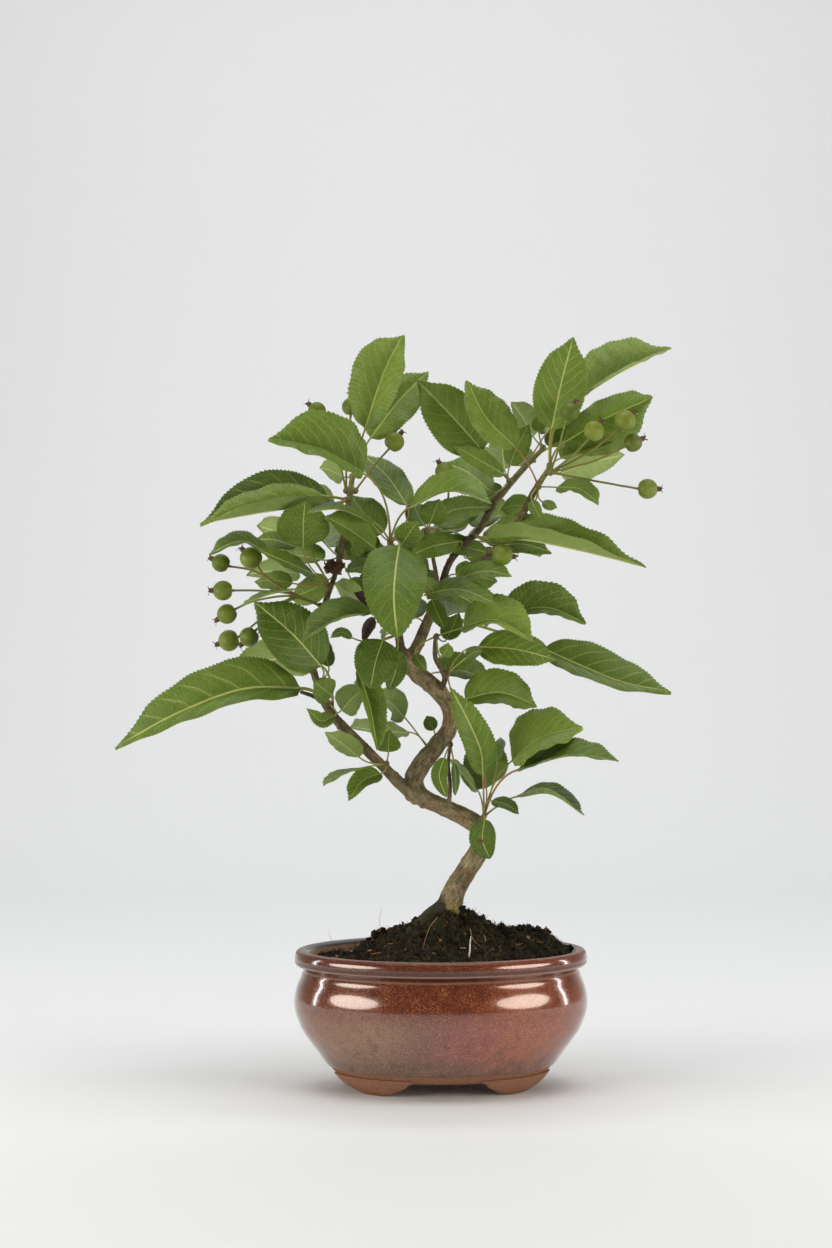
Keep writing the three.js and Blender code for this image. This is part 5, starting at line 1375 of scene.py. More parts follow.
BUMPS = {  # on each limb: t, the way (across, up, behind) that it looks, how far out, radius
    "trunk": [
        (0.20, (1, 0.2, -0.5), 0.5, 3.2), (0.32, (-1, 0.3, -0.3), 0.5, 3.0),
        (0.50, (1, 0.1, -0.3), 1.1, 3.6), (0.56, (1, -0.6, 0), 0.8, 3.0), (0.68, (0, 1, -0.3), 0.5, 2.6),
        (0.83, (-0.1, -1, -0.3), 0.5, 2.6), (1.0, (-1, -0.2, 0), 1.3, 3.8),
        (0.93, (0, -1, -0.2), 0.7, 3.0),
    ],
    "leader": [
        (0.12, (-1, 0.1, -0.2), 0.7, 3.2), (0.25, (1, 0.2, -0.3), 0.5, 2.6),
        (0.37, (1, -0.3, -0.4), 0.6, 2.5), (0.52, (-1, 0.2, -0.4), 0.5, 2.5),
        (0.64, (1, 0, -0.2), 0.7, 2.8), (0.8, (-0.4, -1, -0.2), 0.6, 2.6), (1.0, (0, 1, 0), 0.8, 3.8),
        (0.93, (-1, -0.2, 0), 0.7, 2.8),
    ],
    "left_branch": [
        (0.12, (0.3, 1, -0.3), 0.6, 2.0), (0.34, (-1, 0.2, -0.3), 0.6, 1.9),
        (0.42, (1, 0.1, 0), 0.7, 1.9), (0.55, (-1, 0, -0.3), 0.6, 1.5), (0.66, (1, 0.2, 0.2), 0.5, 1.2),
        (0.74, (-1, 0, -0.4), 0.5, 1.2), (0.86, (1, 0, -0.3), 0.6, 1.3),
    ],
    "left_limb": [
        (0.35, (-1, 0, -0.3), 0.7, 1.7), (0.62, (1, 0, -0.3), 0.6, 1.4), (0.8, (-1, 0.2, 0.1), 0.5, 1.2),
    ],
    "right_limb": [
        (0.4, (1, 0, -0.3), 0.7, 2.0), (0.7, (-1, 0.1, -0.3), 0.6, 1.8), (0.95, (0, 0, -1), 0.8, 2.2),
    ],
    "far_shoot": [
        (0.2, (-1, 0, -0.4), 0.5, 1.4), (0.48, (1, -0.2, -0.4), 0.6, 1.5),
        (0.72, (-1, 0.3, -0.4), 0.5, 1.2),
    ],
    "near_shoot": [
        (0.2, (1, -0.3, -0.4), 0.5, 1.4), (0.48, (-1, 0.2, -0.4), 0.5, 1.3),
        (0.7, (1, 0, -0.5), 0.7, 1.6), (0.86, (-1, 0, -0.4), 0.5, 1.2),
    ],
    "middle_twig": [(0.55, (1, 0, -0.4), 0.5, 1.2)],
    "low_twig": [(0.5, (-1, 0, -0.4), 0.4, 0.9)],
}
ROOTS_ROUND = [  # degrees round the trunk's foot, reach, thickness
    (-35, 13, 4.2), (-95, 12, 4), (-150, 14, 4.4), (20, 15, 3.6), (75, 12, 4), (140, 13, 4),
]


def bump_on(limb_name, t, way, out, size):
    """A small egg that stands out of a limb on one side: a knot, or the scar of a lost twig."""
    line, girth = LINES[limb_name]
    i = int(round(t * (len(line) - 1)))
    heading = unit(line[min(i + 1, len(line) - 1)] - line[max(i - 1, 0)])
    way = np.array([way[0], way[2], way[1]], float)
    if 0.01 < t < 0.99:
        way = way - heading * (way @ heading)
    return blob(line[i] + unit(way) * (girth[i] - size + out), size)


def root_flare(degrees, reach, thick):
    """A surface root: out of the trunk's foot, and down under the soil by the power 1.5 of the way."""
    s = np.linspace(0, 1, 20)[:, None]
    turn = math.radians(degrees)
    way = np.array([math.cos(turn), math.sin(turn), 0])
    middle = np.array([1.5, 0, 92]) + way * (3 + reach * s) - UP * (2 + 20 * s**1.5)
    return tube(middle, thick * (1 - 0.55 * s[:, 0]), 16)


def make_wood():
    """All tubes and eggs of the tree's wood, which still run through each other here."""
    bodies = [tube(line, girth, 24) for line, girth in LINES.values()]
    bodies += [blob(line[-1], girth[-1] * 1.02) for line, girth in LINES.values()]
    for limb_name, knob, _ in [*CLUSTERS.values(), *BUNCHES.values()]:
        bodies += spur(limb_name, knob)
    bodies += [bump_on(limb_name, *row) for limb_name, rows in BUMPS.items() for row in rows]
    bodies += [root_flare(*row) for row in ROOTS_ROUND]
    return gather(bodies)


wood = add_piece("trunk_wood", make_wood(), ["trunk"])
melt = wood.modifiers.new("melt", "REMESH")
melt.mode, melt.voxel_size, melt.use_smooth_shade = "VOXEL", 0.00055, True
soften = wood.modifiers.new("soften", "SMOOTH")
soften.factor, soften.iterations = 0.5, 3
finished(wood)
print("wood corners after melting:", len(wood.data.vertices))

# %% [markdown]
# The bark's relief comes last. It is weaker on thin young shoots, which are nearly smooth. The finest of
# its noises is read in the limb's own straightened frame, squeezed along it, so it lies round the limb.

# %% Bark relief
BLOCK = 20000  # points at a time
LIMB_OFFSET = 300  # millimetres between the starts of two limbs, so that no two wear the same pattern


def read_vectors(rows, key):
    """One vector for each corner of a mesh, such as its place or its normal, as an array."""
    out = np.empty(len(rows) * 3, np.float32)
    rows.foreach_get(key, out)
    return out.reshape(-1, 3).astype(float)


def nearest_limb(points):
    """Girth of the nearest limb, and the place in that limb's own straightened frame: along, and the two
    ways across. It goes limb by limb, in blocks of points, to keep the table of distances small."""
    best = np.full(len(points), 1e9)
    girth = np.zeros(len(points))
    own = np.zeros((len(points), 3))
    for number, (line, radius) in enumerate(LINES.values()):
        line, radius = line[::2], radius[::2]
        frame_here = np.stack(line_frame(line), 1)
        steps = np.linalg.norm(np.diff(line, axis=0), axis=1)
        run = np.concatenate([[0], np.cumsum(steps)]) + LIMB_OFFSET * number
        for start in range(0, len(points), BLOCK):
            block = points[start:start + BLOCK]
            gap = np.linalg.norm(block[:, None] - line[None], axis=2) - radius[None]
            which = gap.argmin(1)
            low = gap[np.arange(len(block)), which]
            closer = low < best[start:start + BLOCK]
            spots, which = np.flatnonzero(closer) + start, which[closer]
            best[spots] = low[closer]
            girth[spots] = radius[which]
            off = points[spots] - line[which]
            own[spots] = np.sum(off[:, None] * frame_here[which], axis=2)
            own[spots, 0] += run[which]
    return girth, own


def give_bark(piece):
    """Relief in millimetres: slow swells, lumps and grain, all weaker on young wood, and faint rings."""
    points = (read_vectors(piece.data.vertices, "co") - POT_MIDDLE) * 1000
    normals = read_vectors(piece.data.vertex_normals, "vector")
    girth, own = nearest_limb(points)
    old = smoothstep(2.2, 5.2, girth)
    broad = noise(points, 7.5, 11) * (0.16 + 0.34 * old)
    lumps = noise(points, 3.1, 12) * (0.08 + 0.15 * old)
    fine = noise(own * [1.6, 1, 1], 1.3, 13) * (0.05 + 0.06 * old)
    hoops = np.sin(own[:, 0] * 2.1 + 2.2 * noise(points, 9, 14)) * 0.05 * (1 - 0.6 * old)
    shift = broad + lumps + fine + hoops
    moved = points + normals * shift[:, None]
    piece.data.vertices.foreach_set("co", (moved / 1000 + POT_MIDDLE).astype(np.float32).ravel())
    for key, value in (("girth", girth), ("relief", shift), ("own", own / 1000)):
        add_field(piece.data, key, value)
    piece.data.update()
    return old


old_share = give_bark(wood)
print("share of the skin that is old bark:", round(float(old_share.mean()), 2))

# %% [markdown]
# Old bark is smooth grey-olive brown, rust-brown where it has scuffed, green with algae low down, and
# dotted with pale pores that are wider round the limb than along it. Young shoots are darker and
# redder. The finish reads the limb's own straightened frame, so the pores follow every bend.

# %% Bark finish
def make_bark():
    bark = Finish("crabapple_bark")
    here = bark.here()
    z = bark.part(here, "Z") * 1000
    own = bark.vector_math("MULTIPLY", bark.field("own", "Vector"), (2.6, 1, 1))
    along = bark.vector_math("MULTIPLY", bark.field("own", "Vector"), (0.35, 1, 1))
    old = bark.step(bark.field("girth"), 2.3, 4.6)
    relief = bark.field("relief")
    patch = bark.speckle(here, 11, 3, 0.6)
    scuff = bark.speckle(here, 4.5, 4, 0.65)
    grain = bark.speckle(here, 0.8, 3, 0.65)
    streak = bark.speckle(along, 1.6, 4, 0.65)
    weathered = bark.ramp(streak * 0.55 + scuff * 0.45, (0.34, 70, 61, 38), (0.44, 108, 95, 66),
                          (0.54, 144, 128, 95), (0.64, 184, 166, 134))
    rust = bark.ramp(streak, (0.3, 92, 62, 40), (0.7, 152, 112, 78))
    algae = bark.ramp(streak, (0.3, 70, 68, 32), (0.7, 114, 108, 60))
    aged = bark.mix(bark.step(patch, 0.5, 0.62) * 0.7, weathered, rust)
    sky = bark.part(bark.node("NewGeometry", output="Normal"), "Z")
    mossy = bark.step(sky + (scuff - 0.5) * 1.4, 0.1, 0.8) * 0.7
    aged = bark.mix(bark.most(mossy, bark.step(scuff, 0.5, 0.62) * 0.4), aged, algae)
    base = bark.step(z + (patch - 0.5) * 22, 104, 98) * 0.6
    aged = bark.mix(base, aged, bark.ramp(grain, (0.3, 96, 80, 28), (0.7, 158, 138, 56)))
    young = bark.ramp(scuff * 0.6 + streak * 0.4, (0.35, 62, 52, 34), (0.5, 90, 78, 50),
                      (0.66, 128, 114, 78))
    tips = bark.step(bark.field("girth"), 2.05, 1.6) * bark.step(z + (patch - 0.5) * 50, 296, 330)
    young = bark.mix(tips * 0.8, young, bark.ramp(streak, (0.35, 92, 92, 46), (0.65, 134, 132, 72)))
    colour = bark.mix(old, young, aged)
    pores = bark.step(bark.cells(own, 2.6), 0.24, 0.12) * bark.step(grain, 0.36, 0.5)
    colour = bark.mix(pores * 0.6, colour, (182, 166, 132))
    pits = bark.step(grain * 0.5 + bark.speckle(own, 1.9, 3) * 0.5, 0.46, 0.34) * 0.8
    colour = bark.mix(pits, colour, (54, 42, 29))
    # painted shade in the sunk parts of the relief
    hollows = bark.step(relief, -0.1, -0.5) * 0.45
    colour = bark.mix(hollows, colour, (60, 48, 32))
    left = bark.step((bark.part(here, "X") - float(POT_MIDDLE[0])) * 1000, 8, -3)
    dirt = bark.step(z + (scuff - 0.5) * 16 - left * 9, 99, 93)
    colour = bark.mix(dirt * 0.92, colour, (34, 30, 16))
    height = streak * 0.4 + grain * 0.3 + pores * 0.5 - pits * 0.4
    return bark.surface(Base_Color=colour, Roughness=0.62 + grain * 0.22, Specular_IOR_Level=0.4,
                        Normal=bark.bump(height, 0.35, 0.8))


wear(make_bark(), wood)

# %% [markdown]
# ## The leaves
#
# A leaf is one closed body: a round stalk whose rings flatten into a blade. Each ring has as many corners
# on the upper face as on the lower one, 13 on a long leaf and 9 on a short one. Every tooth of the edge
# gets three rings, at its notch, its slope and its point. The blade bulges between the side veins and
# dips on them, folds along the midrib and waves at its edge.

# %% One leaf
WIDEST = 0.44  # of the way along the blade
VEINS, VEIN_LEAN, VEIN_BEND = 7.6, 0.8, 1.7
STALK_RINGS = 12
WIDE_COLUMNS = np.array([-1, -0.88, -0.66, -0.42, -0.2, -0.02, 0, 0.02, 0.2, 0.42, 0.66, 0.88, 1])
NARROW_COLUMNS = np.array([-1, -0.82, -0.45, -0.02, 0, 0.02, 0.45, 0.82, 1])
NECK, FIRST_TOOTH = np.array([0, 0.004, 0.012, 0.021]), 0.03
TOOTH_PARTS = np.array([0, 0.5, 0.88])
TOOTH_RISE = np.array([-0.6, 0.3, 1.0])


def leaf_shape(t):
    """Half the width at t, 1 at its widest: (t/w)^0.56 times ((1-t)/(1-w))^(0.56 (1/w - 1))."""
    return (t / WIDEST) ** 0.56 * ((1 - t) / (1 - WIDEST)) ** (0.56 * (1 / WIDEST - 1))


def blade_frames(rib, t, turns):
    """Points of the midrib, the way the upper face looks and the way across, as the plain model has
    them: the face looks at the eye, made square to the rib and turned about it."""
    point, heading = spline(rib, t), headings(rib, t)
    whole = unit(rib[-1] - rib[0])
    seen = EYE - point
    seen = unit(seen - heading * np.sum(seen * heading, 1, keepdims=True))
    across = unit(np.cross(heading, seen))
    level = np.cross(whole, seen)[len(t) // 2]
    if (level[0] if abs(whole[2]) > 0.94 else level[2]) < 0:
        across = -across
    turns = np.atleast_1d(turns)
    turn = np.radians(np.interp(t, np.linspace(0, 1, len(turns)), turns))
    c, s = np.cos(turn)[:, None], np.sin(turn)[:, None]
    return point, heading, seen * c + across * s, across * c - seen * s


def vein_phase(u, out, side):
    """Counts the side veins: each leaves the midrib at about 45 degrees and bends towards the tip, and
    those of one side start between those of the other. It works on arrays and on wires alike."""
    return VEINS * (u - VEIN_LEAN * out - VEIN_BEND * out * out) + 0.3 * side


def make_stalk(heart, rib, heading, side, face):
    """Middle line and two ways across of the stalk: a cubic curve from the bud, which it leaves towards
    the leaf, to the start of the midrib, which it meets along the rib."""
    base, gap = rib[0], np.linalg.norm(rib[0] - heart)
    lead = base - heading[0] * 0.4 * gap
    elbow = heart + (lead - heart) * 0.75
    root = heart + unit(elbow - heart) * 0.8
    bend = root + (elbow - root) * 0.45
    k = np.linspace(0, 1, STALK_RINGS + 1)[:-1, None]
    line = (1 - k) ** 3 * root + 3 * (1 - k) ** 2 * k * bend + 3 * (1 - k) * k**2 * lead + k**3 * base
    way = unit(np.gradient(np.concatenate([line, base[None]]), axis=0))[:-1]
    stalk_side = carried(side[0], np.concatenate([[heading[0]], way[::-1]]))[1:][::-1]
    stalk_face = np.cross(stalk_side, way)
    return k[:, 0], line, stalk_side, stalk_face * np.sign(np.sum(stalk_face[-1] * face[0]))


def make_leaf(heart, places, half, turns, fold, draw, light=0):
    """One leaf from its bud to its tip. Across the blade v runs from -1 to 1, w is how far out that is,
    and along it t, or u as a column, runs from 0 to 1."""
    rib = place(places)
    length = length_of(spline(rib, np.linspace(0, 1, 60)))
    pitch = np.interp(length, [12, 30, 60], [1.1, 1.5, 2.1])
    teeth = max(7, int(round(length / pitch)))
    t = FIRST_TOOTH + (1 - FIRST_TOOTH) * ((np.arange(teeth)[:, None] + TOOTH_PARTS) / teeth).ravel()
    t = np.concatenate([NECK, t, [1]])
    rise = np.concatenate([0 * NECK, np.tile(TOOTH_RISE, teeth), [0]])
    point, heading, face, side = blade_frames(rib, t, turns)
    hang = float(smoothstep(0.55, 0.85, unit(rib[0] - rib[-1])[2]))

    # outline: smooth width, plus teeth that are small near the base and the tip
    depth = pitch * 0.25 * smoothstep(0.02, 0.2, t) * (1 - smoothstep(0.93, 1, t))
    drawn = 1 - 0.4 * (1 - hang) * smoothstep(0.78, 0.95, t)
    width = half * leaf_shape(t) * drawn + depth * rise * draw.uniform(0.7, 1.3, len(t))
    width = np.maximum(width, 0.05)[:, None]
    v = (WIDE_COLUMNS if length > 26 else NARROW_COLUMNS)[None]
    w, way = np.abs(v), np.sign(v)
    on_rib, by_rib = w < 0.01, (w > 0.01) & (w < 0.05)

    # the fold: steep at the rib and flatter further out, a bend of constant rate along the width
    bend = math.radians(max(fold, 4))
    steep = (1.3 - 0.6 * w) * bend
    out = (math.sin(1.3 * bend) - np.sin(steep)) / (0.6 * bend)
    lift = (np.cos(steep) - math.cos(1.3 * bend)) / (0.6 * bend)

    # bulges between the veins, three waves that grow towards the edge, and an edge that turns down
    columns = v * width
    u = t[:, None] + 0 * columns
    bulge = 0.5 - 0.5 * np.cos(2 * np.pi * vein_phase(u, np.abs(columns / length), way))
    bulge = bulge * np.sin(np.pi * np.clip(w, 0.02, 0.98)) ** 0.7
    bulge = bulge * np.interp(half, [4, 20], [0.08, 0.45]) * draw.uniform(0.25, 1)
    bulge = bulge * smoothstep(0, 0.1, u) * (1 - 0.7 * hang)
    waves = sum(
        draw.uniform(0.4, 1) * np.sin(2 * np.pi * (k * u + draw.uniform(0, 1)) + (v > 0) * draw.uniform(0, 6))
        for k in (1.6, 3.3, 5.2)
    ) * w**2 * half * 0.03
    cup = -0.10 * half * w**3 * draw.uniform(0.2, 1.2)
    up = lift * width + bulge + waves + cup

    # two faces, with the midrib as a low ridge above and a high one below
    thick = 0.17 - 0.07 * w + 0 * u
    rib_size = float(np.clip(0.0095 * length, 0.42, 0.9))
    rib_here = rib_size * ((1 - u) ** 0.8 * 0.88 + 0.12)
    near_rib = np.where(on_rib, 1.0, np.where(by_rib, 0.55, 0.0))
    columns = np.where(by_rib, way * rib_here * 0.75, columns)
    across = np.where(on_rib | by_rib, columns, way * out * width)
    above = up + thick + near_rib * 0.10
    below = up - thick - near_rib * rib_here * 1.25
    across, height = np.concatenate([across, across[:, ::-1]], 1), np.concatenate([above, below[:, ::-1]], 1)
    blade = point[:, None] + side[:, None] * across[..., None] + face[:, None] * height[..., None]

    # the stalk, and the first rings of the blade blended out of a circle
    k, stalk, stalk_side, stalk_face = make_stalk(heart, rib, heading, side, face)
    i = (np.arange(v.size) + 0.5) / v.size
    angle = np.concatenate([np.pi * (1 - i), -np.pi * i])
    swell = rib_size * (0.95 + 0.5 * (1 - k) ** 4 + 0.08 * k)
    low = circles(stalk, swell, angle, stalk_side, stalk_face)
    blend = smoothstep(0, 0.034, t)[:, None, None]
    rings = circles(point, rib_here[:, 0], angle, side, face) * (1 - blend) + blade * blend
    rings = np.concatenate([low, rings])

    # what the finish reads: along, across and how near the edge, then shade, lower face and blush
    # shade: lighter higher in the crown, partly for younger leaves and partly painted light on the crown's
    # top, darker on a hanging leaf, a random part, and the row's fifth value, painted light or shade for that
    # leaf, which at -2 withers it
    shade = np.interp(rib[0][2], [140, 360], [0.1, 0.62]) + draw.uniform(-0.1, 0.4) - 0.1 * hang + light
    blush, smooth = draw.uniform(0, 1) ** 1.7, np.maximum(0.75 * hang, draw.uniform(0, 0.6))
    blade, kind = np.zeros((2, *rings.shape))
    blade[..., 0] = np.concatenate([k * 0.3 - 0.3, t])[:, None]
    blade[STALK_RINGS:, :, 1] = np.concatenate([columns, columns[:, ::-1]], 1) / length
    blade[STALK_RINGS:, :, 2] = np.concatenate([w, w[:, ::-1]], 1)
    kind[..., 0], kind[:, v.size:, 1], kind[..., 2] = shade, 1, blush
    return loft(rings, blade=blade, smooth=smooth, kind=kind)


leaf_draw = np.random.default_rng(73)
leaf_pieces = []
for name, (limb_name, knob, blades) in CLUSTERS.items():
    _, heart = seat(limb_name, knob)
    bodies = [make_leaf(heart, *row[:4], leaf_draw, *row[4:]) for row in blades]
    leaf_pieces.append(add_piece(f"leaf_{name}", gather(bodies), [f"leaves_{name}"], sharp=55))
print("leaf pieces:", len(leaf_pieces))

# %% [markdown]
# The finish draws the veins from two numbers that every corner carries: how far along the rib it is, and
# how far out, both over the leaf's length. The same vein count as in the shape puts a pale line in each
# dip. The lower face is paler and shows the midrib as a cream ridge. The stalk, where the first number
# is below zero, runs from green to red.

# %% Leaf finish
SCAR_AT = POT_MIDDLE + place((21.6, 134.8, -19)) / 1000  # a brown spot on the round leaf by the trunk


def make_leaf_finish():
    """Both faces, the veins, the stalk and the withered leaf in one finish."""
    leaf = Finish("crabapple_leaf")
    here = leaf.here()
    blade, kind = leaf.field("blade", "Vector"), leaf.field("kind", "Vector")
    u, v, edge = (leaf.part(blade, which) for which in "XYZ")
    shade, under, blush = (leaf.part(kind, which) for which in "XYZ")
    wide = abs(v)
    veined = 1 - leaf.field("smooth")
    patch = leaf.speckle(here, 11, 2, 0.5)
    grain = leaf.speckle(here, 1.2, 3, 0.6)

    phase = vein_phase(u, wide, leaf.math("SIGN", v))
    from_vein = abs(leaf.math("FRACT", phase + 0.5 + (patch - 0.5) * 0.3) - 0.5)
    vein = leaf.step(from_vein, 0.05, 0.01) * leaf.step(edge, 1.0, 0.6) * (veined * 0.8 + 0.2)
    between = VEINS * 3 * (u - VEIN_LEAN * wide) + (patch - 0.5) * 1.6
    small = leaf.step(abs(leaf.math("FRACT", between) - 0.5), 0.07, 0.0) * leaf.step(edge, 1.0, 0.8)
    twigs = leaf.step(leaf.cells(here, 1.7, "DISTANCE_TO_EDGE"), 0.09, 0.01)
    rib = leaf.step(wide, 0.0105, 0.005) * leaf.step(u, 1.02, 0.85)

    # tone: each leaf's shade number, which carries painted light and shade, plus patches and grain
    tone = shade * 0.75 + patch * 0.5 + (grain - 0.5) * 0.12
    top = leaf.ramp(tone, (0.15, 50, 72, 14), (0.42, 70, 95, 20), (0.72, 95, 121, 31),
                    (1.0, 120, 144, 48))
    top = leaf.mix(leaf.step(grain, 0.48, 0.66) * 0.42, top, (46, 66, 12))
    top = leaf.mix(small * 0.2 + twigs * 0.3, top, (128, 144, 66))
    halo = leaf.step(from_vein, 0.16, 0.02) * leaf.step(edge, 1.0, 0.6) * veined
    top = leaf.mix(halo * 0.18 + vein * 0.58, top, (158, 170, 90))
    top = leaf.mix(rib * 0.85, top, (188, 192, 112))
    bottom = leaf.ramp(tone, (0.15, 100, 122, 54), (0.6, 120, 140, 66), (1.0, 138, 156, 82))
    bottom = leaf.mix(small * 0.15 + twigs * 0.3, bottom, (150, 164, 106))
    bottom = leaf.mix(vein * 0.6, bottom, (172, 180, 122))
    bottom = leaf.mix(rib * 0.85, bottom, (192, 194, 128))
    colour = leaf.mix(under, top, bottom)
    colour = leaf.mix(leaf.step(shade, -0.8, -1.0), colour, (56, 40, 34))
    margin = leaf.step(edge, 0.95, 1.0) * 0.3
    colour = leaf.mix(margin, colour, (146, 152, 76))
    from_scar = leaf.vector_math("SUBTRACT", here, tuple(SCAR_AT))
    from_scar = leaf.vector_math("MULTIPLY", from_scar, (0.45, 0.1, 0.9))
    scar = leaf.node("VectorMath", {"operation": "LENGTH"}, {0: from_scar}, "Value") * 1000
    colour = leaf.mix(leaf.step(scar + (grain - 0.5) * 1.6, 1.15, 0.7) * 0.85, colour, (92, 58, 36))
    stalk = leaf.step(u, 0.012, -0.004)
    stem = leaf.ramp(blush + (patch - 0.5) * 0.3, (0.35, 136, 142, 62), (0.75, 150, 136, 70),
                     (1.0, 152, 108, 76))
    foot = leaf.step(u, -0.2, -0.3)
    stem = leaf.mix(foot * 0.75, stem, (104, 76, 48))
    colour = leaf.mix(stalk, colour, stem)
    height = vein * -0.9 + twigs * -0.45 + small * -0.25 + grain * 0.4
    return leaf.surface(
        Base_Color=colour, Roughness=0.36 + grain * 0.16 + under * 0.18, Specular_IOR_Level=0.34,
        Normal=leaf.bump(height * (1 - 1.6 * under) * (1 - stalk), 0.2, 0.85),
    )


wear(make_leaf_finish(), *leaf_pieces)

# %% [markdown]
# ## The fruit
#
# A crabapple is a ball with a dimple where the stalk goes in and a short neck at the other end, where the
# five dried sepals of the flower curl back. Stalk, apple and sepals are bodies of their own, so each can
# have the number of rings that it needs.

# %% Apples, stalks and sepals
SEPAL_CORNERS = [(1, 0, 0), (0.2, 0, 0.14), (-1, 0, 0), (0, 0, -0.14)]


def ways_across(out):
    """Two directions square to the way that a fruit's eye points."""
    side = unit(np.cross(out, [0.3, 0.2, 1.0]))
    return side, np.cross(side, out)


def make_apple(centre, out, radius, draw):
    """Revolved: along = -cos(p) with a dimple at p = 0 and a neck at p = pi, across = sin(p) with a
    small five-sided swell towards the eye and a small two-sided one all along."""
    p = np.linspace(0, np.pi, 32)[1:-1, None]
    side, up = ways_across(out)
    turn = 2 * np.pi * np.arange(34)[None] / 34
    axial = -np.cos(p) + 0.22 * np.exp(-((p / 0.3) ** 2)) + 0.03 * np.exp(-(((np.pi - p) / 0.25) ** 2))
    swell = 1 + 0.025 * np.cos(5 * turn) * (1 - np.cos(p)) / 2 + 0.02 * np.cos(2 * turn + radius * 9)
    across = np.sin(p) ** 0.96 * swell
    rings = centre + radius * (
        axial[..., None] * out
        + across[..., None] * (np.cos(turn)[..., None] * side + np.sin(turn)[..., None] * up)
    )
    poles = np.broadcast_to((1 - np.cos(p)) / 2, rings.shape[:2])
    hue = draw.uniform(0, 1)
    return loft(rings, kind=np.stack([poles, np.full_like(poles, hue), 0 * poles], -1))


def make_sepals(centre, out, radius, draw):
    """The flower's stub, five dry strips that rise from it and curl out along arcs, and six hairs."""
    side, up = ways_across(out)
    neck = centre + out * (radius * 0.96)
    s = np.linspace(0, 1, 9)[:, None]
    bodies = [tube(neck + out * s * 1.5, 1.45 - 0.1 * s[:, 0] + 0.15 * np.sin(3.1 * s[:, 0]), 14)]
    for k in range(5):
        turn = 2 * np.pi * (k + draw.uniform(-0.1, 0.1)) / 5
        way = math.cos(turn) * side + math.sin(turn) * up
        long = draw.uniform(2.9, 4.0)
        curl = draw.uniform(0.9, 1.6)
        rise, spread = long * np.sin(curl * s) / curl, long * (1 - np.cos(curl * s)) / curl
        middle = neck + out * (1.0 + rise * 0.75) + way * (0.75 + spread)
        bodies.append(strip(middle, way + out * 0.01, 0.85 * (1 - s) ** 0.7 + 0.05, SEPAL_CORNERS))
    for _ in range(6):
        turn = draw.uniform(0, 2 * np.pi)
        way = math.cos(turn) * side + math.sin(turn) * up
        hair = neck + out * (1.0 + 1.6 * s) + way * (0.25 + 0.5 * s)
        bodies.append(tube(hair, 0.11 - 0.04 * s[:, 0], 5))
    body = gather(bodies)
    body["kind"] = np.tile([1.0, draw.uniform(0, 1), 1.0], (len(body["points"]), 1))
    return body


def make_fruit(heart, at, radius, eye, via, draw):
    """Stalk, apple and sepals of one fruit. The stalk starts in the bud and ends inside the dimple."""
    centre = place(at)
    out = unit(np.array([eye[0], 0.0, eye[1]]))
    path = np.array([heart, *place(via)[::-1], centre - out * radius * 0.78])
    t = np.linspace(0, 1, 46)
    middle = spline(path, t)
    thick = 0.58 + 0.5 * np.exp(-((t / 0.04) ** 2)) + 0.22 * smoothstep(0.93, 1, t)
    sway = np.stack([noise(middle, 4.5, seed) for seed in (21, 22, 23)], -1)
    middle = middle + 0.12 * sway * np.sin(np.pi * t[:, None])
    stalk = tube(middle, thick, 12)
    stalk["kind"] = np.tile([0.0, draw.uniform(0, 1), 0.5], (len(stalk["points"]), 1))
    return [stalk, make_apple(centre, out, radius, draw), make_sepals(centre, out, radius, draw)]


fruit_draw = np.random.default_rng(17)
fruit_pieces = []
for name, (limb_name, knob, fruits) in BUNCHES.items():
    _, heart = seat(limb_name, knob)
    bodies = [body for row in fruits for body in make_fruit(heart, *row, fruit_draw)]
    fruit_pieces.append(add_piece(f"fruit_{name}", gather(bodies), [f"fruits_{name}"], sharp=60))

# %% [markdown]
# Every corner of a fruit carries three numbers: how far it is from the stalk's end to the eye, a hue drawn
# at random, and whether it is skin, stalk or sepal. So one finish can colour all three.

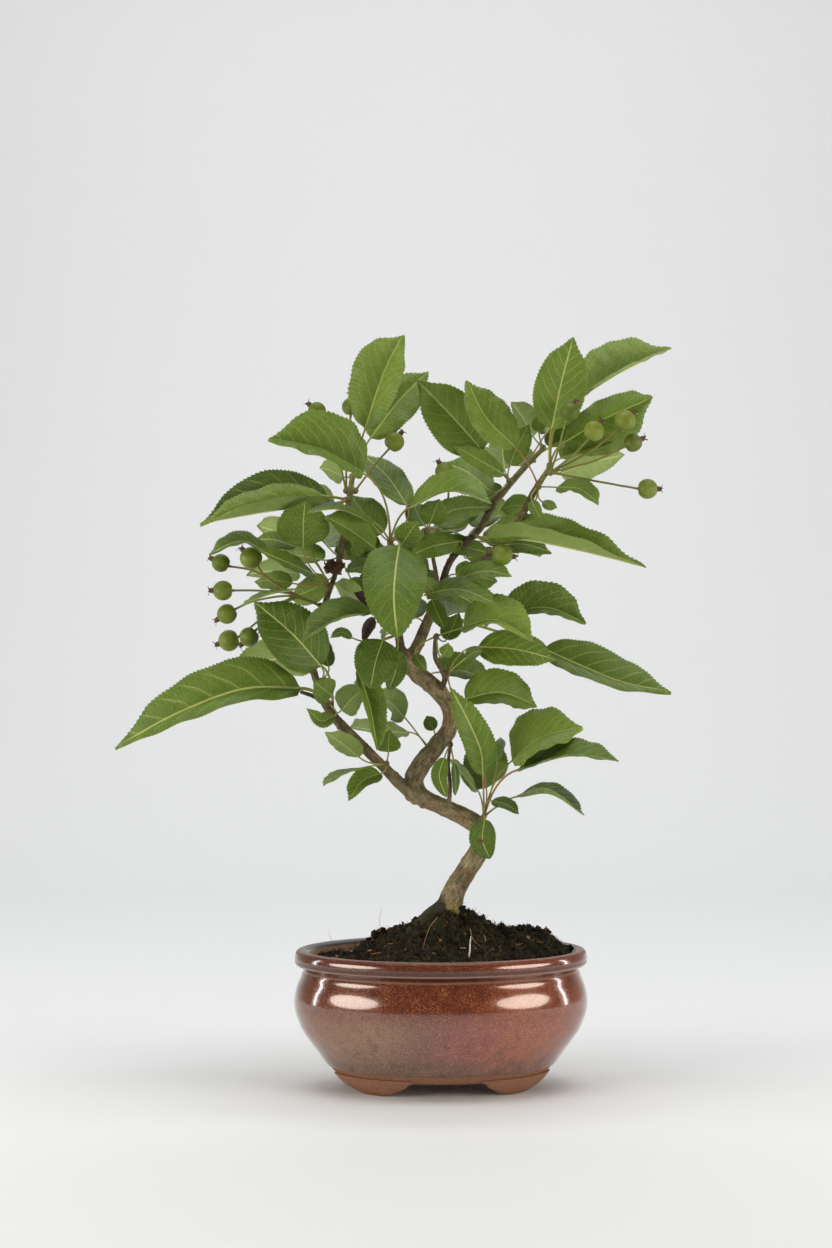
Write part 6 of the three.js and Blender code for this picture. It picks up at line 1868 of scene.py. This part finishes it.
# %% Fruit finish
def make_fruit_finish():
    """Chooses by the third number: 0 is skin, a half stalk and 1 sepal."""
    skin = Finish("green_crabapple")
    here = skin.here()
    kind = skin.field("kind", "Vector")
    pole, hue, which = (skin.part(kind, axis) for axis in "XYZ")
    cloud = skin.speckle(here, 6, 2)
    grain = skin.speckle(here, 0.7, 3, 0.65)
    green = skin.ramp(hue * 0.4 + cloud * 0.6, (0.25, 76, 92, 22), (0.5, 98, 113, 32),
                      (0.8, 124, 136, 50))
    dots = skin.step(skin.cells(here, 1.25), 0.2, 0.1) * 0.4
    green = skin.mix(dots, green, (160, 168, 96))
    ends = skin.step(abs(pole - 0.5), 0.40, 0.5)
    green = skin.mix(ends * 0.5, green, (126, 112, 62))
    stem = skin.ramp(hue + (cloud - 0.5) * 0.4, (0.2, 112, 122, 52), (0.8, 122, 118, 58),
                     (1.1, 122, 96, 60))
    dry = skin.ramp(grain, (0.3, 58, 44, 34), (0.55, 104, 82, 66), (0.75, 146, 126, 104))
    colour = skin.mix(skin.step(which, 0.2, 0.3), green, stem)
    colour = skin.mix(skin.step(which, 0.7, 0.8), colour, dry)
    rough = 0.36 + grain * 0.14 + which * 0.35
    return skin.surface(Base_Color=colour, Roughness=rough, Specular_IOR_Level=0.3,
                        Normal=skin.bump(grain, 0.06, 0.6))


wear(make_fruit_finish(), *fruit_pieces)

# %% [markdown]
# One dead flower head hangs on the left branch: a ball crumpled by noise, with curled flakes all round.

# %% Dry clump
DRY_AT, DRY_SIZE = place((-59, 286, -5)), np.array([6.2, 4.0, 4.2])
FLAKES = 16
FLAKE_CORNERS = [(1, 0.4, 0), (0, 0, 0.15), (-1, 0.4, 0), (0, 0, -0.15)]


def make_dry_clump():
    """The crumpled ball, and flakes that stand out of it and bend over by the square of the way."""
    corners, faces = ball(4)
    crumple = 1 + 0.22 * noise(corners, 0.45, 31) + 0.14 * noise(corners, 0.2, 32) - 0.08
    bodies = [{"points": DRY_AT + corners * DRY_SIZE * 0.86 * crumple[:, None], "faces": [faces]}]
    draw = np.random.default_rng(8)
    s = np.linspace(0, 1, 9)[:, None]
    for _ in range(FLAKES):
        way = unit(draw.normal(0, 1, 3))
        bend = unit(np.cross(way, draw.normal(0, 1, 3)))
        middle = DRY_AT + way * DRY_SIZE * 0.7 + way * 2.2 * s + bend * 1.6 * s**2
        half = 1.1 * np.sin(np.pi * (0.12 + 0.8 * s)) + 0.05
        bodies.append(strip(middle, bend, half, FLAKE_CORNERS))
    return gather(bodies)


clump = add_piece("withered_flowers", make_dry_clump(), ["dry_clump"], sharp=50)


def make_withered():
    dry = Finish("withered_petals")
    grain = dry.speckle(dry.here(), 1.6, 4, 0.7)
    colour = dry.ramp(grain, (0.3, 40, 26, 18), (0.5, 86, 56, 36), (0.65, 128, 88, 56), (0.8, 168, 130, 88))
    return dry.surface(Base_Color=colour, Roughness=0.85, Normal=dry.bump(grain, 0.4, 0.8))


wear(make_withered(), clump)

# %% [markdown]
# ## Measure
#
# The boxes of the imported model and of the dressed one are printed side by side. The fine pieces must
# stay in the box of the imported model.

# %% Sizes
seen_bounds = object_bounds()
for label, (low, high) in (("packed model", cad_bounds), ("dressed model", seen_bounds)):
    print(label, "in mm:", [round((b - a) * 1000, 1) for a, b in zip(low, high)])
